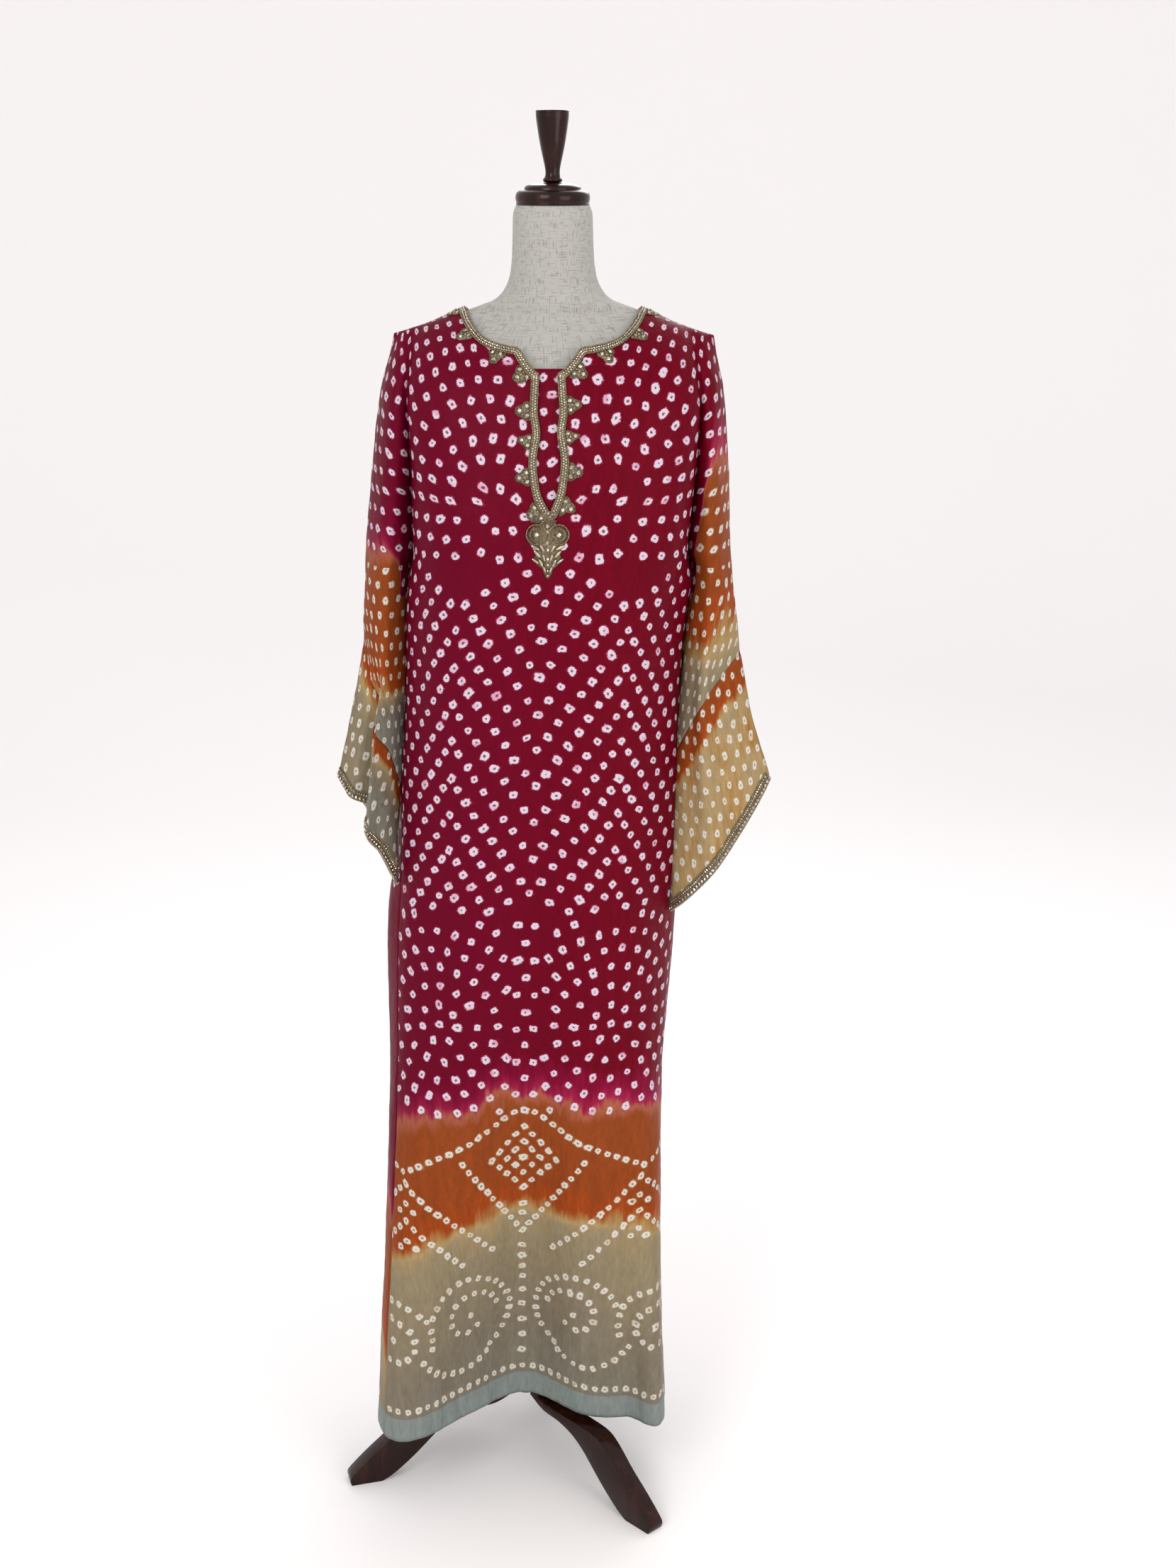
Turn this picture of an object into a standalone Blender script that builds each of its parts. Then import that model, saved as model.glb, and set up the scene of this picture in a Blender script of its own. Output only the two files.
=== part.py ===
"""A tie-dyed silk kaftan on the limbless dress form that it rests on.

Metres, +Z up, the front looks to -Y.  The kaftan has the kimono cut: front and back are
each one piece with their halves of both sleeves, so there is no armhole seam, and a deep
valley fold parts the body from each hanging sleeve.  Every cloth piece is a sheet of
points with a wall made from it, and neighbouring pieces keep a small gap at their seam.
"""
import bpy
import bmesh
from collections import namedtuple
from math import asin, cos, pi, radians, sin
import numpy
from mathutils import Matrix, Vector
from mathutils.bvhtree import BVHTree

# Driving sizes of the cloth
WALL = 0.002
SEAM_GAP = 0.0003
MITRE_LIMIT = 1.3
MITRE_CALM = 0.03
UNDERARM_LIFT = 3.4
SHOULDER_LEVEL = 1.50
UNDERARM_LEVEL = 1.30
HEM_LEVEL = 0.112
HEM_RISE = 0.008
HEM_RISE_PLACE = 0.02
HEM_RISE_SPREAD = 0.60
HEM_RISE_TOP = 0.40
SLIT_BOTTOM = 1.385
NECK_SHARE = 0.60
VALLEY_START = 0.172
TRIM_WIDTH = 0.010
TRIM_THICK = 0.0014
TRIM_LIFT = 0.0009
TREFOIL_REACH = 0.016
TREFOIL_PLACES = (0.011, 0.049, 0.088, 0.127, 0.184, 0.236, 0.284, 0.336)
STRIP_BLEND = 4

# Driving sizes of the stand
POLE_RADIUS = 0.0125
HUB_RADIUS = 0.022
HUB_BOTTOM = 0.108
HUB_TOP = 0.190
FORM_BOTTOM = 0.880
NECK_TOP = 1.738
LEG_WIDTH = 0.026
LEG_ANGLES = (-46.0, -164.0, 76.0)
NECK_AXIS = (0.0, 0.0, 0.0)
STAND_AXIS = (-0.045, -0.004, 0.0)
FIT_GAP = 0.0003

FRONT = -1
BACK = 1
RIGHT = 1
LEFT = -1

# Level rings of the body: half width, middle, reach to the front and back, squareness
Section = namedtuple("Section", "height half_width middle front back square")
BODY = (
    Section(1.620, 0.1860, 0.0010, 0.060, 0.050, 2.2),
    Section(1.560, 0.1830, 0.0010, 0.104, 0.078, 2.5),
    Section(1.500, 0.1795, 0.0010, 0.122, 0.096, 2.7),
    Section(1.440, 0.1765, 0.0005, 0.134, 0.104, 2.8),
    Section(1.360, 0.1738, -0.0028, 0.143, 0.106, 2.8),
    Section(1.300, 0.1712, -0.0056, 0.143, 0.105, 2.8),
    Section(1.240, 0.1662, -0.0130, 0.141, 0.106, 2.8),
    Section(1.120, 0.1645, -0.0195, 0.137, 0.108, 2.8),
    Section(0.930, 0.1715, -0.0285, 0.133, 0.118, 2.9),
    Section(0.830, 0.1775, -0.0360, 0.132, 0.121, 2.9),
    Section(0.660, 0.1828, -0.0392, 0.131, 0.126, 3.0),
    Section(0.470, 0.1872, -0.0437, 0.128, 0.129, 3.1),
    Section(0.290, 0.1920, -0.0480, 0.120, 0.131, 3.3),
    Section(0.112, 0.2000, -0.0495, 0.110, 0.134, 3.5),
)

# Soft vertical folds: place across (1 is the side), push to the back, spread, where each
# begins, where it is deepest
Fold = namedtuple("Fold", "across push spread top deep")
FRONT_FOLDS = (
    Fold(HEM_RISE_PLACE, 0.064, 0.36, 0.780, 0.112),
    Fold(-0.90, -0.062, 0.27, 0.760, 0.112),
    Fold(1.00, -0.050, 0.15, 0.640, 0.112),
    Fold(0.70, 0.010, 0.20, 0.900, 0.300),
    Fold(-0.42, -0.006, 0.16, 1.280, 0.760),
    Fold(0.38, -0.006, 0.16, 1.280, 0.700),
    Fold(0.02, 0.007, 0.18, 1.300, 1.050),
)
BACK_FOLDS = (
    Fold(0.00, -0.016, 0.20, 1.400, 0.112),
    Fold(-0.46, 0.014, 0.20, 1.380, 0.112),
    Fold(0.48, 0.014, 0.20, 1.380, 0.112),
    Fold(-0.78, -0.012, 0.14, 1.200, 0.112),
    Fold(0.76, -0.012, 0.14, 1.200, 0.112),
)

# Floor of the valley between body and sleeve, as a distance from the side's own plane
Valley = namedtuple("Valley", "height front back")
VALLEY = (
    Valley(1.300, 0.000, 0.000),
    Valley(1.335, 0.015, 0.013),
    Valley(1.420, 0.038, 0.029),
    Valley(1.500, 0.052, 0.038),
    Valley(1.620, 0.052, 0.038),
)

# The left side seam has rolled to the front: angle round the ring, in degrees
Roll = namedtuple("Roll", "height angle")
LEFT_SEAM = (
    Roll(0.112, 63.0),
    Roll(0.700, 64.0),
    Roll(0.870, 68.0),
    Roll(1.000, 80.0),
    Roll(1.150, 90.0),
    Roll(1.700, 90.0),
)

# Half of the front neckline from the slit's corner to the neck point, and of the back one
Edge = namedtuple("Edge", "share out forward height")
FRONT_NECK = (
    Edge(0.00, 0.0110, 0.1065, 1.5460),
    Edge(0.12, 0.0185, 0.1045, 1.5510),
    Edge(0.24, 0.0285, 0.0985, 1.5630),
    Edge(0.36, 0.0365, 0.0915, 1.5740),
    Edge(0.50, 0.0520, 0.0865, 1.5772),
    Edge(0.64, 0.0690, 0.0760, 1.5806),
    Edge(0.78, 0.0850, 0.0600, 1.5870),
    Edge(0.90, 0.0985, 0.0370, 1.6010),
    Edge(1.00, 0.1080, 0.0000, 1.6165),
)
BACK_NECK = (
    Edge(0.00, 0.0000, -0.0840, 1.5880),
    Edge(0.50, 0.0560, -0.0740, 1.5910),
    Edge(0.80, 0.0920, -0.0440, 1.6010),
    Edge(1.00, 0.1080, 0.0000, 1.6165),
)

# Half width of the slit and the place of its middle
Slit = namedtuple("Slit", "height half middle")
SLIT = (
    Slit(1.385, 0.0000, -0.0030),
    Slit(1.403, 0.0070, -0.0040),
    Slit(1.425, 0.0105, -0.0042),
    Slit(1.462, 0.0125, -0.0040),
    Slit(1.500, 0.0110, -0.0042),
    Slit(1.546, 0.0105, -0.0045),
    Slit(1.620, 0.0105, -0.0045),
)

# Outer fold of each sleeve above the underarm, from the shoulder corner down
Outer = namedtuple("Outer", "height out forward")
RIGHT_OUTER = (
    Outer(1.300, 0.2262, -0.010),
    Outer(1.3281, 0.2245, -0.009),
    Outer(1.4359, 0.2197, -0.006),
    Outer(1.5065, 0.2131, -0.003),
    Outer(1.5414, 0.2081, -0.002),
    Outer(1.5880, 0.1990, 0.000),
)
LEFT_OUTER = (
    Outer(1.300, 0.2415, -0.010),
    Outer(1.3462, 0.2380, -0.009),
    Outer(1.4713, 0.2228, -0.005),
    Outer(1.5588, 0.2072, -0.002),
    Outer(1.5910, 0.1975, 0.000),
)

# Slanted rings of the hanging sleeves: 0 at the underarm, 1 at the seam of the end piece,
# 2 at the cuff.  The bow lifts the middle of a ring.
Ring = namedtuple("Ring", "along out_o fwd_o high_o out_i fwd_i high_i front back bow")
RIGHT_SLEEVE = (
    Ring(0.00, 0.2262, -0.010, 1.300, 0.1655, 0.000, 1.300, 0.054, 0.064, 0.000),
    Ring(0.35, 0.2310, -0.005, 1.259, 0.1655, 0.006, 1.211, 0.047, 0.053, 0.004),
    Ring(0.70, 0.2365, 0.002, 1.218, 0.1585, 0.012, 1.122, 0.040, 0.043, 0.012),
    Ring(1.00, 0.2395, 0.008, 1.183, 0.1530, 0.018, 1.046, 0.034, 0.036, 0.020),
    Ring(1.50, 0.2560, 0.018, 1.097, 0.1520, 0.030, 0.945, 0.029, 0.031, 0.008),
    Ring(2.00, 0.2800, 0.028, 1.018, 0.1510, 0.046, 0.842, 0.024, 0.027, -0.005),
)
LEFT_SLEEVE = (
    Ring(0.00, 0.2415, -0.010, 1.300, 0.1750, 0.000, 1.300, 0.054, 0.064, 0.000),
    Ring(0.35, 0.2445, -0.005, 1.262, 0.1875, 0.006, 1.200, 0.046, 0.053, 0.002),
    Ring(0.70, 0.2462, 0.000, 1.225, 0.1925, 0.014, 1.105, 0.038, 0.043, 0.004),
    Ring(1.00, 0.2470, 0.005, 1.190, 0.1985, 0.024, 1.008, 0.032, 0.037, 0.006),
    Ring(1.50, 0.2640, 0.018, 1.108, 0.2030, 0.048, 0.943, 0.028, 0.033, 0.004),
    Ring(2.00, 0.2830, 0.030, 1.022, 0.2040, 0.072, 0.888, 0.025, 0.030, 0.015),
)

# Lengthwise creases of the sleeve fronts: how far the crease's edge and the valley
# behind it move out and forward, for each share of the sleeve's length
Crease = namedtuple("Crease", "along edge_out edge_fwd dip_out dip_fwd")
LEFT_CREASE = (
    Crease(0.00, 0.000, 0.002, 0.000, 0.000),
    Crease(0.70, 0.002, 0.004, 0.000, -0.002),
    Crease(1.00, 0.012, 0.010, -0.004, -0.008),
    Crease(1.50, 0.008, 0.014, -0.013, -0.012),
    Crease(2.00, 0.003, 0.014, -0.021, -0.014),
)
RIGHT_CREASE = (
    Crease(0.00, 0.000, 0.003, 0.000, 0.000),
    Crease(1.00, -0.002, 0.010, 0.002, -0.006),
    Crease(1.50, -0.001, 0.008, 0.001, -0.005),
    Crease(2.00, 0.000, 0.003, 0.000, -0.002),
)
CREASE_EDGE = 0.42
CREASE_DIP = 0.62
CREASE_SPREAD = 0.17

# Columns and rows of the sheets
FRONT_COLUMNS = (0.0, 0.05, 0.11, 0.18, 0.26, 0.35, 0.44, 0.53, NECK_SHARE)
BACK_COLUMNS = (0.0, 0.13, 0.26, 0.39, 0.51, NECK_SHARE)
SIDE_COLUMNS = (0.70, 0.79, 0.87, 0.935, 0.98, 1.0)
SLEEVE_COLUMNS = (0.0, 0.13, 0.28, CREASE_EDGE, 0.52, CREASE_DIP, 0.79, 1.0)
YOKE_ROWS = (0.0, 0.09, 0.20, 0.34, 0.54, 0.77, 1.0)
CHEST_LEVELS = (1.46, 1.42, SLIT_BOTTOM, 1.335, UNDERARM_LEVEL)
SLEEVE_ROWS = (0.0, 0.35, 0.70, 1.0)
END_ROWS = (1.0, 1.25, 1.50, 1.75, 1.93, 2.0)
WAIST_START = 1.272
BODY_ROW_COUNT = 16

# The dress form, in level rings
FORM = (
    Section(0.880, 0.1260, -0.034, 0.092, 0.092, 2.3),
    Section(0.935, 0.1360, -0.029, 0.101, 0.101, 2.3),
    Section(0.990, 0.1380, -0.025, 0.104, 0.103, 2.3),
    Section(1.060, 0.1330, -0.020, 0.102, 0.098, 2.2),
    Section(1.130, 0.1210, -0.016, 0.094, 0.088, 2.1),
    Section(1.190, 0.1160, -0.013, 0.092, 0.080, 2.1),
    Section(1.250, 0.1220, -0.010, 0.102, 0.083, 2.1),
    Section(1.310, 0.1340, -0.006, 0.120, 0.088, 2.1),
    Section(1.360, 0.1460, -0.003, 0.136, 0.095, 2.1),
    Section(1.410, 0.1500, -0.001, 0.132, 0.096, 2.1),
    Section(1.460, 0.1520, 0.0, 0.119, 0.091, 2.1),
    Section(1.510, 0.1550, 0.0, 0.107, 0.086, 2.0),
    Section(1.545, 0.1550, 0.0, 0.096, 0.075, 1.9),
    Section(1.570, 0.1560, 0.0, 0.083, 0.065, 1.75),
    Section(1.586, 0.1560, 0.0, 0.073, 0.057, 1.50),
    Section(1.600, 0.1423, 0.0, 0.060, 0.053, 1.30),
    Section(1.612, 0.1095, 0.0, 0.0545, 0.051, 1.28),
    Section(1.624, 0.0760, 0.0, 0.054, 0.051, 1.7),
    Section(1.640, 0.0600, 0.0, 0.051, 0.051, 1.9),
    Section(1.662, 0.0530, 0.0, 0.051, 0.051, 2.0),
    Section(1.700, 0.0505, 0.0, 0.0505, 0.0505, 2.0),
    Section(1.728, 0.0495, 0.0, 0.0495, 0.0495, 2.0),
    Section(NECK_TOP, 0.0460, 0.0, 0.0460, 0.0460, 2.0),
)
FORM_SIDES = 28

# Turned outlines of the wooden parts: radius and height
Turn = namedtuple("Turn", "radius height")
CAP_OUTLINE = (
    Turn(0.0000, 1.7383), Turn(0.0410, 1.7383), Turn(0.0442, 1.7410),
    Turn(0.0455, 1.7465), Turn(0.0442, 1.7520), Turn(0.0405, 1.7548),
    Turn(0.0350, 1.7556), Turn(0.0340, 1.7590), Turn(0.0290, 1.7618),
    Turn(0.0150, 1.7640), Turn(0.0000, 1.7642),
)
FINIAL_OUTLINE = (
    Turn(0.0000, 1.7645), Turn(0.0095, 1.7645), Turn(0.0118, 1.7675),
    Turn(0.0095, 1.7710), Turn(0.0088, 1.7760), Turn(0.0100, 1.7850),
    Turn(0.0150, 1.8080), Turn(0.0190, 1.8330), Turn(0.0200, 1.8440),
    Turn(0.0182, 1.8485), Turn(0.0000, 1.8485),
)
HUB_OUTLINE = (
    Turn(0.0000, HUB_BOTTOM), Turn(0.0180, HUB_BOTTOM), Turn(HUB_RADIUS, HUB_BOTTOM + 0.005),
    Turn(HUB_RADIUS, HUB_TOP - 0.014), Turn(0.0200, HUB_TOP - 0.006), Turn(0.0160, HUB_TOP),
    Turn(0.0000, HUB_TOP),
)
# Side outline of a sawn leg: distance from the pole and height, top edge then underside
LEG_TOP = (
    Turn(HUB_RADIUS + FIT_GAP, 0.150), Turn(0.028, 0.139), Turn(0.036, 0.118),
    Turn(0.046, 0.109), Turn(0.090, 0.106), Turn(0.130, 0.105), Turn(0.158, 0.101),
    Turn(0.178, 0.087), Turn(0.202, 0.063), Turn(0.230, 0.039), Turn(0.253, 0.017),
    Turn(0.259, 0.008), Turn(0.257, 0.000),
)
LEG_UNDER = (
    Turn(0.214, 0.000), Turn(0.196, 0.010), Turn(0.170, 0.031), Turn(0.148, 0.052),
    Turn(0.128, 0.071), Turn(0.106, 0.085), Turn(0.080, 0.093), Turn(0.048, 0.097),
    Turn(HUB_RADIUS + FIT_GAP, 0.110),
)

# Surface finishes: colour, roughness, metallic
Finish = namedtuple("Finish", "red green blue rough metal")
SILK = Finish(0.290, 0.008, 0.035, 0.46, 0.0)
SLEEVE_SILK = Finish(0.420, 0.215, 0.080, 0.46, 0.0)
BEADWORK = Finish(0.330, 0.270, 0.190, 0.35, 0.7)
LINEN = Finish(0.560, 0.520, 0.460, 0.90, 0.0)
MAHOGANY = Finish(0.055, 0.016, 0.009, 0.25, 0.0)


def clear_scene():
    """Remove what a new file starts with."""
    for item in list(bpy.data.objects):
        bpy.data.objects.remove(item)


def read(table, place, column):
    """Value of a column at a place along the table's first column, on a smooth curve."""
    rows = sorted(table)
    keys = [row[0] for row in rows]
    values = [getattr(row, column) for row in rows]
    if place <= keys[0]:
        return values[0]
    if place >= keys[-1]:
        return values[-1]
    last = len(keys) - 1
    start = max(i for i in range(last) if keys[i] <= place)

    def slope(i):
        low = max(i - 1, 0)
        high = min(i + 1, last)
        return (values[high] - values[low]) / (keys[high] - keys[low])

    step = keys[start + 1] - keys[start]
    t = (place - keys[start]) / step
    rise = values[start] * (1 + 2 * t) * (1 - t) ** 2 + values[start + 1] * t * t * (3 - 2 * t)
    lean = slope(start) * t * (1 - t) ** 2 - slope(start + 1) * t * t * (1 - t)
    return rise + lean * step


def mix(low, high, share):
    return low + (high - low) * share


def ease(share):
    """0 below 0, 1 above 1, soft between."""
    share = min(max(share, 0.0), 1.0)
    return share * share * (3 - 2 * share)


def bump(distance):
    """Soft hump: 1 in its middle, 0 from a distance of 1."""
    distance = abs(distance)
    if distance >= 1:
        return 0.0
    return (1 + cos(pi * distance)) / 2


def power(value, exponent):
    return max(value, 0.0) ** exponent


def fold_push(folds, across, height):
    """How far the folds move a point to the back."""
    push = 0.0
    for fold in folds:
        grown = ease((fold.top - height) / (fold.top - fold.deep))
        push += fold.push * grown * bump((across - fold.across) / (2 * fold.spread))
    return push


def seam_angle(side, height):
    if side == RIGHT:
        return pi / 2
    return radians(min(read(LEFT_SEAM, height, "angle"), 90.0))


def body_point(side, facing, share, height):
    """Point of the body: share 0 at the middle, 1 at the side seam or the valley's floor."""
    seam = seam_angle(side, height)
    turn = asin(min(share, 1.0) ** 1.4) / (pi / 2)
    angle = turn * seam if facing == FRONT else pi - turn * (pi - seam)
    roundness = 2 / read(BODY, height, "square")
    across = power(sin(angle), roundness) * side
    if share == 0.0:
        across = 0.0
    reach = power(abs(cos(angle)), roundness)
    if abs(cos(angle)) < 1e-6:
        reach = 0.0
    x = read(BODY, height, "middle") + read(BODY, height, "half_width") * across
    if cos(angle) >= 0 and facing == FRONT or cos(angle) > 1e-6:
        floor = read(VALLEY, height, "front")
        depth = read(BODY, height, "front")
        y = -floor - (depth - floor) * reach
        y += fold_push(FRONT_FOLDS, across, height) * ease(3 * reach)
    else:
        floor = read(VALLEY, height, "back")
        depth = read(BODY, height, "back")
        y = floor + (depth - floor) * reach
        y += fold_push(BACK_FOLDS, across, height) * ease(3 * reach)
    if facing == FRONT:
        x += slit_shift(side, share, height)
        raised = ease((HEM_RISE_TOP - height) / (HEM_RISE_TOP - HEM_LEVEL))
        raised *= bump((across - HEM_RISE_PLACE) / HEM_RISE_SPREAD)
        return Vector((x, y, height + HEM_RISE * raised))
    return Vector((x, y, height))


def slit_shift(side, share, height):
    """Sideways move that opens the slit, fading out away from it."""
    if height <= SLIT_BOTTOM:
        return 0.0
    fade = max(0.0, 1 - share / 0.37) ** 2
    half = read(SLIT, height, "half")
    return (side * half + read(SLIT, height, "middle") - read(BODY, height, "middle")) * fade


def outer_table(side):
    return RIGHT_OUTER if side == RIGHT else LEFT_OUTER


def top_point(side, facing, share):
    """Point of the top edge: neckline, then the shoulder fold.  Share 2 is its corner."""
    corner_row = max(outer_table(side))
    corner = Vector((side * corner_row.out, 0.0, corner_row.height))
    neck = FRONT_NECK if facing == FRONT else BACK_NECK
    if share < NECK_SHARE:
        place = share / NECK_SHARE
        out = read(neck, place, "out")
        drift = read(SLIT, 1.55, "middle") if facing == FRONT else 0.0
        x = side * out + drift * (1 - place)
        return Vector((x, -read(neck, place, "forward"), read(neck, place, "height")))
    point = max(neck)
    start = Vector((side * point.out, 0.0, point.height))
    turn = start.lerp(corner, (VALLEY_START - point.out) / (corner_row.out - point.out))
    if share <= 1:
        return start.lerp(turn, (share - NECK_SHARE) / (1 - NECK_SHARE))
    return turn.lerp(corner, share - 1)


def crease_move(side, share, along):
    """Move out, forward of the lengthwise crease in a sleeve's front."""
    table = RIGHT_CREASE if side == RIGHT else LEFT_CREASE
    edge = bump((share - CREASE_EDGE) / CREASE_SPREAD)
    dip = bump((share - CREASE_DIP) / CREASE_SPREAD)
    out = edge * read(table, along, "edge_out") + dip * read(table, along, "dip_out")
    forward = edge * read(table, along, "edge_fwd") + dip * read(table, along, "dip_fwd")
    return Vector((side * out, -forward, 0.0))


def sleeve_cap_point(side, facing, share, height):
    """Point of the sleeve above the underarm: share 0 on the valley's floor, 1 outside."""
    floor = body_point(side, facing, 1.0, height)
    table = outer_table(side)
    outer = Vector((side * read(table, height, "out"), -read(table, height, "forward"), height))
    first = (RIGHT_SLEEVE if side == RIGHT else LEFT_SLEEVE)[0]
    full = first.front if facing == FRONT else first.back
    bulge = mix(0.034, full, ease((1.56 - height) / 0.26))
    point = floor.lerp(outer, share)
    point.y += facing * bulge * power(sin(pi * share), 0.72) if 0 < share < 1 else 0.0
    if facing == FRONT:
        point += crease_move(side, share, 0.0) * ease((SHOULDER_LEVEL - height) / 0.2)
    return point


def level_point(side, facing, share, height):
    if share <= 1:
        return body_point(side, facing, share, height)
    return sleeve_cap_point(side, facing, share - 1, height)


def yoke_point(side, facing, share, down):
    """Point between the top edge (down 0) and the shoulder level (down 1)."""
    top = top_point(side, facing, share)
    level = level_point(side, facing, share, SHOULDER_LEVEL)
    bend = mix(1.0, 0.72, ease((share - 0.3) / 0.4))
    lead = power(down, bend)
    forward = 0.35 * lead + 0.65 * sin(lead * pi / 2)
    x = mix(top.x, level.x, ease(down))
    return Vector((x, mix(top.y, level.y, forward), mix(top.z, level.z, down)))


def sleeve_point(side, facing, share, along):
    """Point of the hanging sleeve: share 0 at the underarm seam, 1 on the outer fold."""
    table = RIGHT_SLEEVE if side == RIGHT else LEFT_SLEEVE
    row = {name: read(table, along, name) for name in Ring._fields[1:]}
    inner = Vector((side * row["out_i"], -row["fwd_i"], row["high_i"]))
    outer = Vector((side * row["out_o"], -row["fwd_o"], row["high_o"]))
    start = max(0.0, 1 - along / 0.35)
    first = table[0]
    edge = outer_table(side)
    outer_start = Vector((side * read(edge, UNDERARM_LEVEL, "out"),
                          -read(edge, UNDERARM_LEVEL, "forward"), UNDERARM_LEVEL))
    inner += (body_point(side, FRONT, 1.0, UNDERARM_LEVEL)
              - Vector((side * first.out_i, -first.fwd_i, first.high_i))) * start
    outer += (outer_start - Vector((side * first.out_o, -first.fwd_o, first.high_o))) * start
    point = inner.lerp(outer, share)
    if not 0 < share < 1:
        return point
    bulge = row["front"] if facing == FRONT else row["back"]
    point.y += facing * bulge * power(sin(pi * share), mix(0.72, 0.8, along / 2))
    point.z += row["bow"] * 4 * share * (1 - share)
    if facing == FRONT:
        point += crease_move(side, share, along)
    return point


class Garment:
    """The sewn sheet: shared points, and the faces of each piece."""

    def __init__(self):
        self.points = []
        self.known = {}
        self.pieces = {}
        self.tips = set()
        self.fixed_lifts = {}

    def number(self, point):
        key = tuple(round(value, 6) for value in point)
        if key not in self.known:
            self.known[key] = len(self.points)
            self.points.append(point)
        return self.known[key]

    def patch(self, piece, rows, flip):
        """Faces between rows of points, the same count in each."""
        numbers = [[self.number(point) for point in row] for row in rows]
        faces = self.pieces.setdefault(piece, [])
        for above, below in zip(numbers, numbers[1:]):
            for i in range(len(above) - 1):
                corners = [above[i], below[i], below[i + 1], above[i + 1]]
                if flip:
                    corners.reverse()
                faces += self.halves(corners)

    def halves(self, corners):
        """The two triangles of a quad, cut from a tip or along the shorter diagonal."""
        a, b, c, d = corners
        first = (self.points[a] - self.points[c]).length
        second = (self.points[b] - self.points[d]).length
        if {a, c} & self.tips or first <= second and not {b, d} & self.tips:
            return [[a, b, c], [a, c, d]]
        return [[a, b, d], [b, c, d]]

    def face_normal(self, face):
        a, b, c = (self.points[i] for i in face)
        return (b - a).cross(c - a).normalized()

    def lifts(self):
        """For each point, the move that lifts every face round it by one unit."""
        squares = [numpy.identity(3) * MITRE_CALM for point in self.points]
        sums = [numpy.zeros(3) for point in self.points]
        for faces in self.pieces.values():
            for face in faces:
                normal = self.face_normal(face)
                for i, corner in enumerate(face):
                    here = self.points[corner]
                    before = self.points[face[i - 1]] - here
                    after = self.points[face[(i + 1) % 3]] - here
                    weight = before.angle(after, 0.0)
                    squares[corner] += weight * numpy.outer(normal, normal)
                    sums[corner] += weight * numpy.array(normal)
        result = []
        for square, total in zip(squares, sums):
            lift = Vector(numpy.linalg.solve(square, total))
            lift.length = min(max(lift.length, 1.0), MITRE_LIMIT)
            result.append(lift)
        for corner, lift in self.fixed_lifts.items():
            result[corner] = lift
        return result

    def seam_moves(self, piece, lifts):
        """Half the seam gap, for the points that this piece shares with another."""
        faces = self.pieces[piece]
        others = {corner for name, group in self.pieces.items() if name != piece
                  for face in group for corner in face}
        mine = {corner for face in faces for corner in face}
        edges = boundary_edges(faces)
        moves = {}
        for corner in mine & others:
            here = self.points[corner]
            inward = Vector()
            for face in faces:
                if corner in face:
                    middle = sum((self.points[i] for i in face), Vector()) / 3
                    inward += (middle - here).normalized()
            normal = lifts[corner].normalized()
            inward -= normal * inward.dot(normal)
            ends = [a if b == corner else b for a, b in edges if corner in (a, b)]
            ends = [end for end in ends if end in others]
            reach = 1.0
            if len(ends) == 2:
                one, two = ((self.points[end] - here).normalized() for end in ends)
                along = (two - one).normalized()
                inward -= along * inward.dot(along)
                reach = 1 / max(sin(one.angle(two) / 2), 0.25)
            moves[corner] = inward.normalized() * SEAM_GAP * 0.55 * reach
        return moves

    def shell(self, faces, lifts, moves, high, low):
        """Closed wall over some faces: outer points, inner points, skin, all faces."""
        used = sorted({corner for face in faces for corner in face})
        place = {corner: i for i, corner in enumerate(used)}
        outer = []
        inner = []
        for corner in used:
            point = self.points[corner] + moves.get(corner, Vector())
            outer.append(point + lifts[corner] * high)
            inner.append(point + lifts[corner] * low)
        count = len(used)
        skin = [[place[i] for i in face] for face in faces]
        solid = [list(face) for face in skin]
        solid += [[i + count for i in reversed(face)] for face in skin]
        for a, b in boundary_edges(skin):
            if a < b:
                solid += [[b, a, b + count], [a, a + count, b + count]]
            else:
                solid += [[b, a, a + count], [b, a + count, b + count]]
        return outer, inner, skin, solid


def boundary_edges(faces):
    """Edges that only one face has, in that face's order."""
    edges = [(face[i - 1], face[i]) for face in faces for i in range(len(face))]
    present = set(edges)
    return [edge for edge in edges if (edge[1], edge[0]) not in present]


def finish_material(name, finish):
    material = bpy.data.materials.new(name)
    material.use_nodes = True
    shader = material.node_tree.nodes["Principled BSDF"]
    shader.inputs["Base Color"].default_value = (finish.red, finish.green, finish.blue, 1.0)
    shader.inputs["Roughness"].default_value = finish.rough
    shader.inputs["Metallic"].default_value = finish.metal
    return material


def add_object(name, points, faces, finish):
    """One solid in the scene from points and faces."""
    mesh = bpy.data.meshes.new(name)
    mesh.from_pydata([tuple(point) for point in points], [], faces)
    mesh.update()
    mesh.shade_smooth()
    mesh.set_sharp_from_angle(angle=radians(40))
    mesh.materials.append(finish_material(name + "_finish", finish))
    item = bpy.data.objects.new(name, mesh)
    bpy.context.collection.objects.link(item)
    return item


def body_levels():
    """Levels of the body's rows from the underarm to the hem, closer near both."""
    levels = [UNDERARM_LEVEL]
    for i in range(BODY_ROW_COUNT + 1):
        share = i / BODY_ROW_COUNT
        levels.append(mix(WAIST_START, HEM_LEVEL, share + 0.12 * share * (1 - share)))
    return levels


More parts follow.
